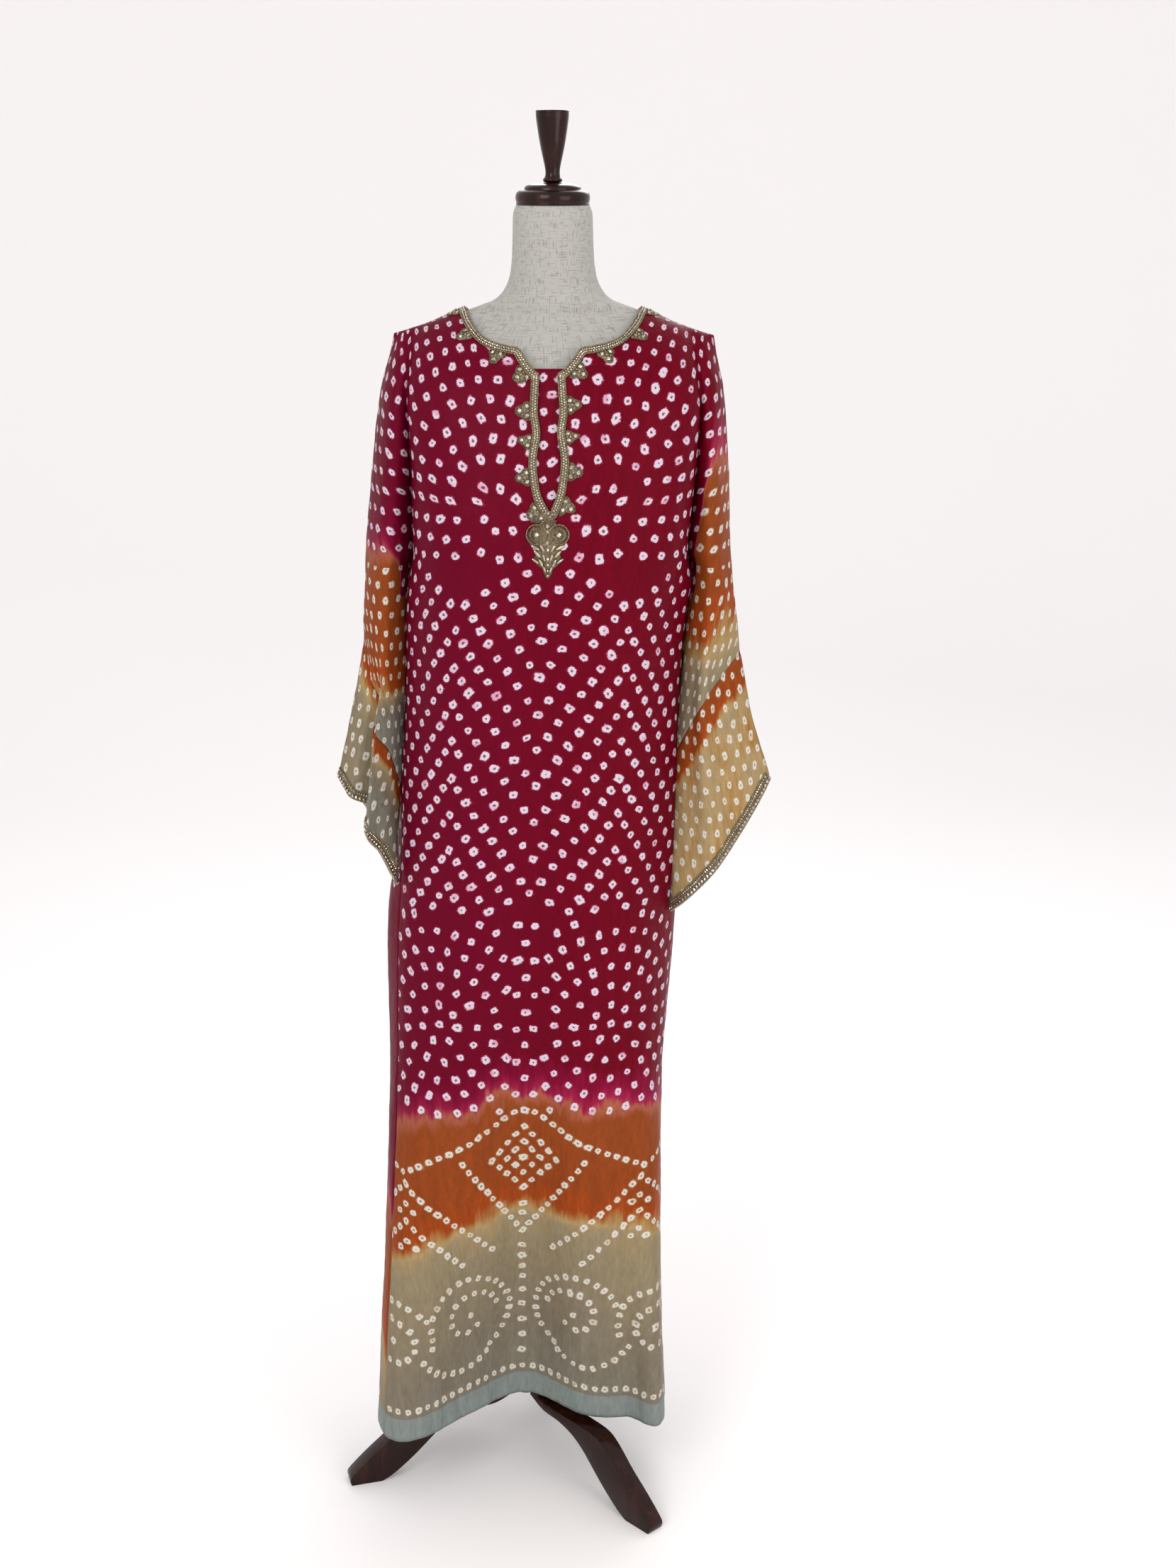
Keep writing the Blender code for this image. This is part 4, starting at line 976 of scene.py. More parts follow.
def lay_out_sleeves():
    layout = DotLayout()
    for row in range(36):
        for i in range(-30, 31):
            across = 0.024 * (i + 0.5 * (row % 2))
            if 0.20 < abs(across) < 0.62:
                layout.add(across, 1.36 - 0.0205 * row, CRIMSON_DOT * 0.92, pi / 2, 0.0018)
    return layout.plant()


def lay_out_underlap():
    layout = DotLayout()
    for row in range(12):
        for i in range(-3, 4):
            layout.add(0.0215 * (i + 0.5 * (row % 2)), 1.56 - 0.0195 * row, CRIMSON_DOT * 0.9, 0.5)
    return layout.plant()


def add_item(name, mesh):
    """An object in the scene that rides on the part."""
    item = bpy.data.objects.new(name, mesh)
    bpy.context.scene.collection.objects.link(item)
    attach(item, "root")
    return item


def finished_object(name, shape, smooth=True):
    """A piece from a shape, its faces shaded smooth, flat, or as they are with None."""
    if smooth is not None:
        for face in shape.faces:
            face.smooth = smooth
    mesh = bpy.data.meshes.new(name)
    shape.to_mesh(mesh)
    shape.free()
    return add_item(name, mesh)


def add_wall(item, name, thickness, offset):
    wall = item.modifiers.new(name, "SOLIDIFY")
    wall.thickness = thickness
    wall.offset = offset


# Beadwork: step of a guide line, widths of the bands, threads, neck beads and trefoils
GUIDE_STEP = 0.001
BAND_WIDTH = 0.0098
CUFF_WIDTH = 0.0128
TAPE_THICK = 0.0007
STRAND = 0.00062
STRAND_LEAD = 0.0036
NECK_PITCH = 0.0031
NECK_BEAD = 0.00145
TREFOIL_OUT = 0.0160
TREFOIL_RADIUS = 0.0086
TREFOIL_LOBES = 0.26
TREFOIL_OUTLINE = 30
TREFOIL_PEARLS = 9

# Stones of a trefoil: along the band, outwards, half size
STONES = ((0.0, 0.0056, 0.0028), (0.0050, -0.0030, 0.0026), (-0.0050, -0.0030, 0.0026))

# A bead: centre, direction off the cloth, direction along the row, half sizes
Bead = namedtuple("Bead", "centre normal along size")


class Guide:
    """A line on the cloth with the direction across it, to lay trim along."""

    def __init__(self, tree, line, towards):
        self.tree = tree
        lengths = run_lengths(line)
        self.length = lengths[-1]
        count = round(self.length / GUIDE_STEP)
        self.step = self.length / count
        self.points = []
        k = 0
        for i in range(count + 1):
            place = self.step * i
            while k < len(line) - 2 and lengths[k + 1] < place:
                k += 1
            share = (place - lengths[k]) / max(lengths[k + 1] - lengths[k], 1e-9)
            self.points.append(line[k].lerp(line[k + 1], min(share, 1.0)))
        sides = []
        for i, point in enumerate(self.points):
            ahead = self.points[min(i + 1, count)] - self.points[max(i - 1, 0)]
            normal = tree.find_nearest(point)[1]
            sides.append(ahead.cross(normal).normalized())
        middle = count // 2
        sign = 1 if sides[middle].dot(towards - self.points[middle]) > 0 else -1
        self.sides = []
        for i in range(count + 1):
            near = sides[max(i - 5, 0):i + 6]
            self.sides.append(sum(near, Vector()).normalized() * sign)

    def at(self, place, across, lift):
        """Spot on the cloth beside the line, its normal and the direction along."""
        steps = min(max(place / self.step, 0.0), len(self.points) - 1.001)
        i = int(steps)
        point = self.points[i].lerp(self.points[i + 1], steps - i)
        side = self.sides[i].lerp(self.sides[i + 1], steps - i)
        along = (self.points[i + 1] - self.points[i]).normalized()
        spot, normal = self.tree.find_nearest(point + side * across)[:2]
        return spot + normal * lift, normal, along

    def places(self, pitch, start=0.0):
        count = int((self.length - start) / pitch)
        return [start + pitch * i for i in range(count + 1)]


def rope(guide, across):
    """Two strands twisted round each other along a guide."""
    strands = []
    for start in (0, pi):
        strand = []
        for place in guide.places(STRAND_LEAD / 6):
            spot, normal, along = guide.at(place, across, STRAND * 1.9)
            turn = 2 * pi * place / STRAND_LEAD + start
            side = normal.cross(along).normalized()
            strand.append(spot + (side * cos(turn) + normal * sin(turn)) * STRAND)
        strands.append(strand)
    return strands


def add_strands(name, strands):
    """Round threads along lines of points."""
    curve = bpy.data.curves.new(name, "CURVE")
    curve.dimensions = "3D"
    curve.bevel_depth = STRAND
    curve.bevel_resolution = 1
    curve.use_fill_caps = True
    for strand in strands:
        spline = curve.splines.new("POLY")
        spline.points.add(len(strand) - 1)
        for place, point in zip(spline.points, strand):
            place.co = (*point, 1)
    lines = bpy.data.objects.new(name + "_lines", curve)
    bpy.context.scene.collection.objects.link(lines)
    shown = lines.evaluated_get(bpy.context.evaluated_depsgraph_get())
    mesh = bpy.data.meshes.new_from_object(shown)
    bpy.data.objects.remove(lines)
    return add_item(name, mesh)


def add_beads(name, beads, rounds, smooth):
    """All beads of one kind: small rounded solids, each turned to its row."""
    shape = bmesh.new()
    for bead in beads:
        side = bead.normal.cross(bead.along).normalized()
        ahead = side.cross(bead.normal)
        long, wide, high = bead.size
        turn = Matrix((ahead * long, side * wide, bead.normal * high)).transposed()
        bmesh.ops.create_icosphere(shape, subdivisions=rounds, radius=1,
                                   matrix=Matrix.Translation(bead.centre) @ turn.to_4x4())
    return finished_object(name, shape, smooth)


def bead_row(guide, pitch, across, half, start=0.0, high=0.8):
    """A row of beads along a guide, each standing on the cloth."""
    beads = []
    for place in guide.places(pitch, start):
        spot, normal, along = guide.at(place, across, TAPE_THICK + half * high * 0.55)
        beads.append(Bead(spot, normal, along, (half, half, half * high)))
    return beads


def add_tape(name, guide, low, high):
    """The embroidered ground under the beads."""
    rows = round(guide.length / 0.002)
    columns = 6
    shape = bmesh.new()
    grid = bmesh.ops.create_grid(shape, x_segments=columns, y_segments=rows, size=0.5)
    for vert in grid["verts"]:
        place = (vert.co.y + 0.5) * guide.length
        vert.co = guide.at(place, mix(low, high, vert.co.x + 0.5), 0.0001)[0]
    return thick_tape(name, guide.tree, shape)


def thick_tape(name, tree, shape):
    """A shape laid on the cloth, turned to face outwards and given its thickness."""
    shape.normal_update()
    first = next(iter(shape.faces))
    if first.normal.dot(tree.find_nearest(first.calc_center_median())[1]) < 0:
        bmesh.ops.reverse_faces(shape, faces=shape.faces)
    item = finished_object(name, shape)
    add_wall(item, "thickness", TAPE_THICK, 1)
    return item


def trefoil_edge(turn, radius):
    """Place beside a trefoil's middle: along the band and outwards from it."""
    reach = radius * (1 + TREFOIL_LOBES * cos(3 * turn))
    return reach * sin(turn), reach * cos(turn)


def add_trefoil_grounds(name, guide, places):
    """The three-lobed patches of embroidery that stand out from the band."""
    shape = bmesh.new()
    for place in places:
        disc = bmesh.ops.create_circle(shape, cap_ends=True, cap_tris=True, segments=36, radius=1)
        for vert in disc["verts"]:
            turn = Vector((vert.co.y, vert.co.x)).angle_signed(Vector((1, 0)), 0.0)
            along, out = trefoil_edge(turn, TREFOIL_RADIUS * vert.co.length)
            vert.co = guide.at(place + along, TREFOIL_OUT + out, 0.0002)[0]
    return thick_tape(name, guide.tree, shape)


def trefoil_beads(guide, place):
    """Outline, stones and pearls of one trefoil."""
    outline = []
    for i in range(TREFOIL_OUTLINE):
        turn = 2 * pi * i / TREFOIL_OUTLINE
        along, out = trefoil_edge(turn, TREFOIL_RADIUS)
        ahead, beyond = trefoil_edge(turn + 0.1, TREFOIL_RADIUS)
        spot, normal, way = guide.at(place + along, TREFOIL_OUT + out, 0.0008)
        after = guide.at(place + ahead, TREFOIL_OUT + beyond, 0.0008)[0]
        run = (after - spot).normalized()
        slant = (run + normal.cross(run) * 0.7).normalized()
        outline.append(Bead(spot, normal, slant, (0.00125, 0.0006, 0.0007)))
    stones = []
    for along, out, half in STONES:
        spot, normal, way = guide.at(place + along, TREFOIL_OUT + out, 0.0016)
        stones.append(Bead(spot, normal, way, (half, half, half * 0.72)))
    pearls = []
    for i in range(TREFOIL_PEARLS):
        turn = 2 * pi * (i + 0.5) / TREFOIL_PEARLS
        along, out = trefoil_edge(turn, TREFOIL_RADIUS * 0.66)
        spot, normal, way = guide.at(place + along, TREFOIL_OUT + out, 0.0013)
        pearls.append(Bead(spot, normal, way, (0.0009, 0.0009, 0.0008)))
    spot, normal, way = guide.at(place, TREFOIL_OUT - 0.0002, 0.0014)
    pearls.append(Bead(spot, normal, way, (0.0012, 0.0012, 0.0011)))
    return outline, stones, pearls


def front_line():
    """Neckline and slit edge of the front from the left neck point round to the right."""
    halves = []
    for side in (LEFT, RIGHT):
        half = [top_point(side, FRONT, NECK_SHARE * (1 - k / 40)) for k in range(41)]
        half += [yoke_point(side, FRONT, 0.0, k / 16) for k in range(1, 17)]
        half += [body_point(side, FRONT, 0.0, mix(SHOULDER_LEVEL, SLIT_BOTTOM, k / 30))
                 for k in range(1, 31)]
        halves.append([point + NECK_AXIS for point in half])
    return halves[0] + halves[1][-2::-1]


def back_line():
    half = [top_point(RIGHT, BACK, NECK_SHARE * k / 40) + NECK_AXIS for k in range(41)]
    other = [top_point(LEFT, BACK, NECK_SHARE * k / 40) + NECK_AXIS for k in range(40, 0, -1)]
    return other + half


def cuff_line(side, along):
    """Ring round a sleeve's end, down the front half and back up the other."""
    line = []
    for facing, steps in ((FRONT, range(61)), (BACK, range(59, -1, -1))):
        for k in steps:
            share = (1 - cos(pi * k / 60)) / 2
            line.append(sleeve_point(side, facing, share, along) + NECK_AXIS)
    return line


def band_rows(guide, near, beyond):
    """Two staggered rows of a neck band, shared out into pearls and stones."""
    row = bead_row(guide, NECK_PITCH, near, NECK_BEAD)
    other = bead_row(guide, NECK_PITCH, beyond, NECK_BEAD, NECK_PITCH / 2)
    return row[::2] + other[1::2], row[1::2] + other[::2]


def add_neck_trim(tree):
    line = front_line()
    guide = Guide(tree, line, line[len(line) // 2] + Vector((0, 0, -1)))
    foot = guide.length / 2
    places = [foot + side * place for place in TREFOIL_PLACES for side in (-1, 1)]
    outline, stones, pearls = [], [], []
    for place in places:
        parts = trefoil_beads(guide, place)
        outline += parts[0]
        stones += parts[1]
        pearls += parts[2]
    row_pearls, row_stones = band_rows(guide, 0.0033, 0.0064)
    ground = add_tape("neck_ground", guide, -0.0008, BAND_WIDTH)
    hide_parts("neck_trim")
    return [(ground, "thread"),
            (add_trefoil_grounds("trefoil_grounds", guide, places), "thread"),
            (add_strands("neck_cords", rope(guide, 0.0010) + rope(guide, 0.0088)), "cord"),
            (add_beads("trefoil_outlines", outline, 1, True), "cord"),
            (add_beads("neck_beads", row_pearls + pearls, 2, True), "pearl"),
            (add_beads("neck_stones", row_stones + stones, 1, False), "stone")]


def add_back_neck_trim(tree):
    line = back_line()
    guide = Guide(tree, line, line[len(line) // 2] + Vector((0, 0, -1)))
    ground = add_tape("back_neck_ground", guide, 0.0006, BAND_WIDTH)
    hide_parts("back_neck_trim")
    cords = add_strands("back_neck_cords", rope(guide, 0.0016) + rope(guide, 0.0088))
    pearls, stones = band_rows(guide, 0.0037, 0.0066)
    return [(ground, "thread"), (cords, "cord"),
            (add_beads("back_neck_beads", pearls, 2, True), "pearl"),
            (add_beads("back_neck_stones", stones, 1, False), "stone")]


def add_cuff_trim(name, tree, side):
    line = cuff_line(side, 1.998)
    guide = Guide(tree, line, cuff_line(side, 1.85)[len(line) // 2])
    ground = add_tape(name + "_ground", guide, 0.0, CUFF_WIDTH)
    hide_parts(name + "_trim")
    cords = add_strands(name + "_cords", rope(guide, 0.0122) + rope(guide, 0.0073))
    stones = bead_row(guide, 0.0034, 0.0098, 0.0015)
    large = bead_row(guide, 0.0054, 0.0040, 0.0023, high=0.7)
    small = []
    for place in guide.places(0.0027):
        spot, normal, along = guide.at(place, 0.0006, 0.0006)
        small.append(Bead(spot, normal, along, (0.0011, 0.0010, 0.0010)))
    return [(ground, "thread"), (cords, "cord"),
            (add_beads(name + "_stones", stones + large, 1, False), "stone"),
            (add_beads(name + "_picots", small, 2, True), "pearl")]


# The motif below the slit: along its middle line, sideways, half sizes, lean in degrees
Leaf = namedtuple("Leaf", "height out long wide lean")
LEAVES = (
    Leaf(1.3380, 0.0150, 0.0062, 0.0018, 28), Leaf(1.3300, 0.0125, 0.0062, 0.0018, 48),
    Leaf(1.3215, 0.0150, 0.0054, 0.0016, 36), Leaf(1.3190, 0.0080, 0.0056, 0.0016, 64),
    Leaf(1.3370, 0.0065, 0.0052, 0.0016, 60), Leaf(1.3255, 0.0045, 0.0048, 0.0015, 74),
    Leaf(1.3110, 0.0038, 0.0040, 0.0014, 70),
)
SCROLL_OUT = 0.0135
SCROLL_HEIGHT = 1.3535
PENDANT_RISE = 0.0048


def add_pendant(tree):
    """Two scrolls, a spray of leaves and a tapering drop below the slit's foot."""
    middle = body_point(RIGHT, FRONT, 0.0, 1.335).x - 0.002 + NECK_AXIS.x

    def spot_at(x, z, lift):
        spot, normal = tree.ray_cast(Vector((middle + x, -1, z + PENDANT_RISE)),
                                     Vector((0, 1, 0)))[:2]
        return spot + normal * lift, normal

    cords = []
    beads = []
    stones = []
    for side in (RIGHT, LEFT):
        for radius, turns in ((0.0120, 1.0), (0.0072, 0.8)):
            for strand in (0, pi):
                line = []
                for i in range(97):
                    turn = 2 * pi * turns * i / 96
                    x = side * (SCROLL_OUT + radius * cos(turn + 2.6))
                    z = SCROLL_HEIGHT + radius * sin(turn + 2.6)
                    spot, normal = spot_at(x, z, 0.0012)
                    twist = 2 * pi * radius * turns * 2 * pi * i / 96 / STRAND_LEAD + strand
                    line.append(spot + normal * STRAND * sin(twist)
                                + Vector((cos(turn), 0, sin(turn))) * STRAND * cos(twist))
                cords.append(line)
        spot, normal = spot_at(side * SCROLL_OUT, SCROLL_HEIGHT, 0.0016)
        stones.append(Bead(spot, normal, Vector((1, 0, 0)), (0.0034, 0.0034, 0.0022)))
        for leaf in LEAVES:
            spot, normal = spot_at(side * leaf.out, leaf.height, 0.0013)
            lean = radians(leaf.lean)
            along = Vector((side * cos(lean), 0, sin(lean)))
            beads.append(Bead(spot, normal, along, (leaf.long, leaf.wide, 0.0012)))
    for i, height in enumerate((1.3640, 1.3570, 1.3440, 1.3350, 1.3240, 1.3165, 1.3095, 1.3035)):
        half = 0.0029 - 0.00020 * i
        spot, normal = spot_at(0.0, height, 0.0014)
        stones.append(Bead(spot, normal, Vector((1, 0, 0)), (half * 0.85, half, half * 0.8)))
    shape = bmesh.new()
    disc = bmesh.ops.create_circle(shape, cap_ends=True, cap_tris=True, segments=48, radius=1)
    for vert in disc["verts"]:
        z = 1.3342 + 0.0345 * vert.co.y
        half = read(PENDANT, z, "half") * 0.92
        vert.co = spot_at(half * vert.co.x / max(sqrt(1 - vert.co.y ** 2), 0.3), z, 0.0002)[0]
    ground = thick_tape("pendant_ground", tree, shape)
    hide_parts("slit_pendant")
    return [(ground, "thread"), (add_strands("pendant_cords", cords), "cord"),
            (add_beads("pendant_leaves", beads, 2, True), "pearl"),
            (add_beads("pendant_stones", stones, 1, False), "stone")]


def add_underlap(dots):
    """The placket cloth behind the slit, over its solid's front."""
    low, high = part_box("slit_underlap")
    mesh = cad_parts["slit_underlap"].data
    tree = BVHTree.FromPolygons([vert.co.copy() for vert in mesh.vertices],
                                [tuple(face.vertices) for face in mesh.polygons])
    cloth = Cloth()
    rows = []
    marks = []
    for i in range(UNDERLAP_ROWS + 1):
        z = mix(high.z - UNDERLAP_EDGE, low.z + UNDERLAP_EDGE, i / UNDERLAP_ROWS)
        row = []
        line = []
        for j in range(UNDERLAP_COLUMNS + 1):
            x = mix(low.x + UNDERLAP_EDGE, high.x - UNDERLAP_EDGE, j / UNDERLAP_COLUMNS)
            spot = tree.ray_cast(Vector((x, -1, z)), Vector((0, 1, 0)))[0]
            if spot is None:
                spot = tree.find_nearest(Vector((x, low.y, z)))[0]
            row.append(spot - NECK_AXIS)
            line.append((x - NECK_AXIS.x, z, 0.0))
        rows.append(row)
        marks.append(line)
    cloth.add_patch("front", rows, marks, False, dots)
    cloth.sheet.normal_update()
    item = cloth.cut_piece("front")
    item.name = "silk_underlap"
    item.modifiers["wall"].thickness = UNDERLAP_WALL
    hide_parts("slit_underlap")
    return item


# Stand

def smooth_outline(rows, steps):
    """Points of a turned or sawn outline, on a curve through its rows."""
    points = [Vector((row.radius, 0, row.height)) for row in rows]
    line = []
    last = len(points) - 1
    for i in range(last):
        before, a, b, after = (points[max(i - 1, 0)], points[i], points[i + 1],
                               points[min(i + 2, last)])
        for k in range(steps):
            t = k / steps
            line.append(a * (2 * t ** 3 - 3 * t * t + 1) + b * (3 * t * t - 2 * t ** 3)
                        + (b - before) * 0.5 * (t ** 3 - 2 * t * t + t)
                        + (after - a) * 0.5 * (t ** 3 - t * t))
    line.append(points[last])
    return line


def add_turned(name, node, outline, axis):
    """A turned piece of polished wood about an upright axis."""
    line = smooth_outline(outline, 5)
    shape = bmesh.new()
    verts = [shape.verts.new((max(point.x, 0.0), 0, point.z)) for point in line]
    edges = [shape.edges.new(pair) for pair in zip(verts, verts[1:])]
    bmesh.ops.spin(shape, geom=verts + edges, cent=(0, 0, 0), axis=(0, 0, 1),
                   angle=2 * pi, steps=TURNED_SIDES, use_merge=True)
    bmesh.ops.remove_doubles(shape, verts=shape.verts, dist=1e-6)
    bmesh.ops.recalc_face_normals(shape, faces=shape.faces)
    bmesh.ops.translate(shape, verts=shape.verts, vec=axis)
    item = finished_object(name, shape)
    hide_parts(node)
    return item


def add_leg(name, node, turn):
    """A sawn S-curved leg with every long edge eased."""
    outline = smooth_outline(LEG_TOP, 4) + smooth_outline(LEG_UNDER, 4)
    shape = bmesh.new()
    face = shape.faces.new([shape.verts.new((point.x, -LEG_WIDTH / 2, max(point.z, 0.0)))
                            for point in outline])
    grown = bmesh.ops.extrude_face_region(shape, geom=[face])
    moved = [item for item in grown["geom"] if isinstance(item, bmesh.types.BMVert)]
    bmesh.ops.translate(shape, verts=moved, vec=(0, LEG_WIDTH, 0))
    bmesh.ops.recalc_face_normals(shape, faces=shape.faces)
    long_edges = [edge for edge in shape.edges
                  if abs(edge.verts[0].co.y - edge.verts[1].co.y) < 1e-6
                  and max(edge.verts[0].co.z, edge.verts[1].co.z) > 0.004
                  and min(edge.verts[0].co.x, edge.verts[1].co.x) > LEG_TOP[0].radius + 0.001]
    bmesh.ops.bevel(shape, geom=long_edges, offset=LEG_EASING, offset_type="OFFSET", segments=3,
                    profile=0.5, affect="EDGES", material=-1, clamp_overlap=True)
    bmesh.ops.rotate(shape, verts=shape.verts, cent=(0, 0, 0),
                     matrix=Matrix.Rotation(radians(turn), 3, "Z"))
    bmesh.ops.translate(shape, verts=shape.verts, vec=STAND_AXIS)
    item = finished_object(name, shape)
    item.data.set_sharp_from_angle(angle=radians(35))
    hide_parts(node)
    return item


def form_size(height, column):
    """Size of the form at a height: straight between its rings below the neck."""
    if height > NECK_BASE:
        return read(FORM, height, column)
    below = max(row for row in FORM if row.height <= height)
    above = min(row for row in FORM if row.height > height)
    share = (height - below.height) / (above.height - below.height)
    return mix(getattr(below, column), getattr(above, column), share)


def add_form():
    """The linen form: a smooth skin just inside its solid, closed at both ends."""
    heights = []
    for below, above in zip(FORM, FORM[1:]):
        heights += [mix(below.height, above.height, k / 6) for k in range(6)]
    heights.append(FORM[-1].height)
    shape = bmesh.new()
    grid = bmesh.ops.create_grid(shape, x_segments=FORM_SIDES, y_segments=len(heights) - 1,
                                 size=0.5)
    for vert in grid["verts"]:
        height = heights[round((vert.co.y + 0.5) * (len(heights) - 1))]
        angle = 2 * pi * round((vert.co.x + 0.5) * FORM_SIDES) / FORM_SIDES
        roundness = 2 / form_size(height, "square")
        across = power(abs(sin(angle)), roundness) * (1 if sin(angle) >= 0 else -1)
        reach = power(abs(cos(angle)), roundness) * (1 if cos(angle) >= 0 else -1)
        depth = form_size(height, "front" if cos(angle) >= 0 else "back") - FORM_INSET
        wide = form_size(height, "half_width") - FORM_INSET
        vert.co = NECK_AXIS + Vector((form_size(height, "middle") + wide * across,
                                      -depth * reach, height))
    bmesh.ops.remove_doubles(shape, verts=shape.verts, dist=1e-5)
    ends = [edge for edge in shape.edges if edge.is_boundary]
    bmesh.ops.holes_fill(shape, edges=ends, sides=0)
    bmesh.ops.recalc_face_normals(shape, faces=shape.faces)
    for face in shape.faces:
        face.smooth = len(face.verts) == 4
    item = finished_object("linen_form", shape, None)
    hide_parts("dress_form")
    return item


# Finishes

class Shader:
    """The nodes of one material or group, each made and joined in one call."""

    def __init__(self, tree):
        self.tree = tree

    def node(self, kind, inputs, **settings):
        made = self.tree.nodes.new("ShaderNode" + kind)
        for name, value in settings.items():
            setattr(made, name, value)
        for name, value in inputs.items():
            self.put(made.inputs[name], value)
        return made

    def put(self, socket, value):
        if isinstance(value, bpy.types.NodeSocket):
            self.tree.links.new(value, socket)
        else:
            socket.default_value = value

    def math(self, operation, a, b=0.0, c=0.0):
        return self.node("Math", {0: a, 1: b, 2: c}, operation=operation).outputs[0]

    def soft_step(self, value, low, high):
        """0 below low, 1 above high; the other way round if low is the larger."""
        made = self.node("MapRange", {"Value": value, "From Min": low, "From Max": high},
                         interpolation_type="SMOOTHSTEP")
        return made.outputs["Result"]

    def blend(self, share, first, second, mode="MIX"):
        made = self.node("Mix", {}, data_type="RGBA", blend_type=mode)
        for index, value in ((0, share), (6, first), (7, second)):
            self.put(made.inputs[index], value)
        return made.outputs[2]

    def noise(self, place, scale, detail=2.0, rough=0.5):
        made = self.node("TexNoise", {"Vector": place, "Scale": scale, "Detail": detail,
                                      "Roughness": rough})
        return made.outputs["Fac"]

    def stretch(self, place, scale):
        made = self.node("Mapping", {"Vector": place, "Scale": scale})
        return made.outputs["Vector"]

    def ramp(self, value, stops):
        made = self.node("ValToRGB", {"Fac": value})
        band = made.color_ramp
        for place, colour in stops[1:-1]:
            band.elements.new(place).color = (*colour, 1)
        band.elements[0].position, band.elements[0].color = stops[0][0], (*stops[0][1], 1)
        band.elements[-1].position, band.elements[-1].color = stops[-1][0], (*stops[-1][1], 1)
        return made.outputs["Color"]

    def uv(self, name):
        return self.node("UVMap", {}, uv_map=name).outputs["UV"]

    def objects_place(self):
        return self.node("TexCoord", {}).outputs["Object"]

    def bump(self, height, strength, distance, normal=None):
        inputs = {"Height": height, "Strength": strength, "Distance": distance}
        if normal is not None:
            inputs["Normal"] = normal
        return self.node("Bump", inputs).outputs["Normal"]

    def group(self, tree, inputs):
        made = self.tree.nodes.new("ShaderNodeGroup")
        made.node_tree = tree
        for name, value in inputs.items():
            self.put(made.inputs[name], value)
        return made.outputs


def new_group(name, inputs, outputs):
    """An empty group with its sockets, as (tree, shader, inside inputs, inside outputs)."""
    tree = bpy.data.node_groups.new(name, "ShaderNodeTree")
    for socket, kind in inputs:
        tree.interface.new_socket(socket, in_out="INPUT", socket_type="NodeSocket" + kind)
    for socket, kind in outputs:
        tree.interface.new_socket(socket, in_out="OUTPUT", socket_type="NodeSocket" + kind)
    shader = Shader(tree)
    start = tree.nodes.new("NodeGroupInput")
    end = tree.nodes.new("NodeGroupOutput")
    return tree, shader, start.outputs, end.inputs


def weave_group():
    """Crossing threads with slubs: the height of the cloth and how slubby a thread is."""
    tree, shader, start, end = new_group(
        "weave", (("Place", "Vector"), ("Threads", "Float")),
        (("Height", "Float"), ("Slub", "Float")))
    parts = shader.node("SeparateXYZ", {"Vector": start["Place"]}).outputs
    heights = []
    slubs = []
    for axis, scale in ((0, (1.0, 0.10, 1.0)), (1, (0.10, 1.0, 1.0))):
        turn = shader.math("MULTIPLY", parts[axis], start["Threads"])
        wave = shader.math("SINE", shader.math("MULTIPLY", turn, 2 * pi))
        heights.append(wave)
        long = shader.node("VectorMath", {0: start["Place"], 1: scale}, operation="MULTIPLY")
        slubs.append(shader.noise(long.outputs[0], start["Threads"], 1.0))
    woven = shader.math("MAXIMUM", heights[0], heights[1])
    slub = shader.math("MAXIMUM", slubs[0], slubs[1])
    shader.put(end["Height"], shader.math("MULTIPLY_ADD", slub, 1.4, woven))
    shader.put(end["Slub"], slub)
    return tree


def tied_dot_group():
    """One tied dot: its pale ring, dark core, bleeding edge and puckered height."""
    tree, shader, start, end = new_group(
        "tied_dot", (("Dot", "Vector"), ("Cloth", "Vector")),
        (("Ring", "Float"), ("Core", "Float"), ("Bleed", "Float"), ("Height", "Float")))
    parts = shader.node("SeparateXYZ", {"Vector": start["Dot"]}).outputs
    cubes = [shader.math("POWER", shader.math("ABSOLUTE", parts[name]), 2.7) for name in "XY"]
    far = shader.math("POWER", shader.math("ADD", *cubes), 1 / 2.7)
    ragged = shader.math("SUBTRACT", shader.noise(start["Cloth"], 520, 2.0, 0.6), 0.5)
    uneven = shader.math("SUBTRACT", shader.noise(start["Cloth"], 190, 1.0), 0.5)
    radius = shader.math("ADD", far, shader.math("MULTIPLY", ragged, 0.42))
    radius = shader.math("ADD", radius, shader.math("MULTIPLY", uneven, 0.75))
    shader.put(end["Ring"], shader.soft_step(radius, 1.0, 0.80))
    shader.put(end["Core"], shader.soft_step(radius, 0.34, 0.16))
    shader.put(end["Bleed"], shader.soft_step(radius, 1.30, 0.85))
    rise = shader.soft_step(radius, 1.5, 0.5)
    sink = shader.soft_step(radius, 0.45, 0.0)
    shader.put(end["Height"], shader.math("SUBTRACT", rise, shader.math("MULTIPLY", sink, 0.9)))
    return tree


def new_material(name, **constants):
    material = bpy.data.materials.new(name)
    material.use_nodes = True
    shader = Shader(material.node_tree)
    surface = material.node_tree.nodes["Principled BSDF"]
    for socket, value in constants.items():
        surface.inputs[socket.replace("_", " ")].default_value = value
    return material, shader, surface.inputs


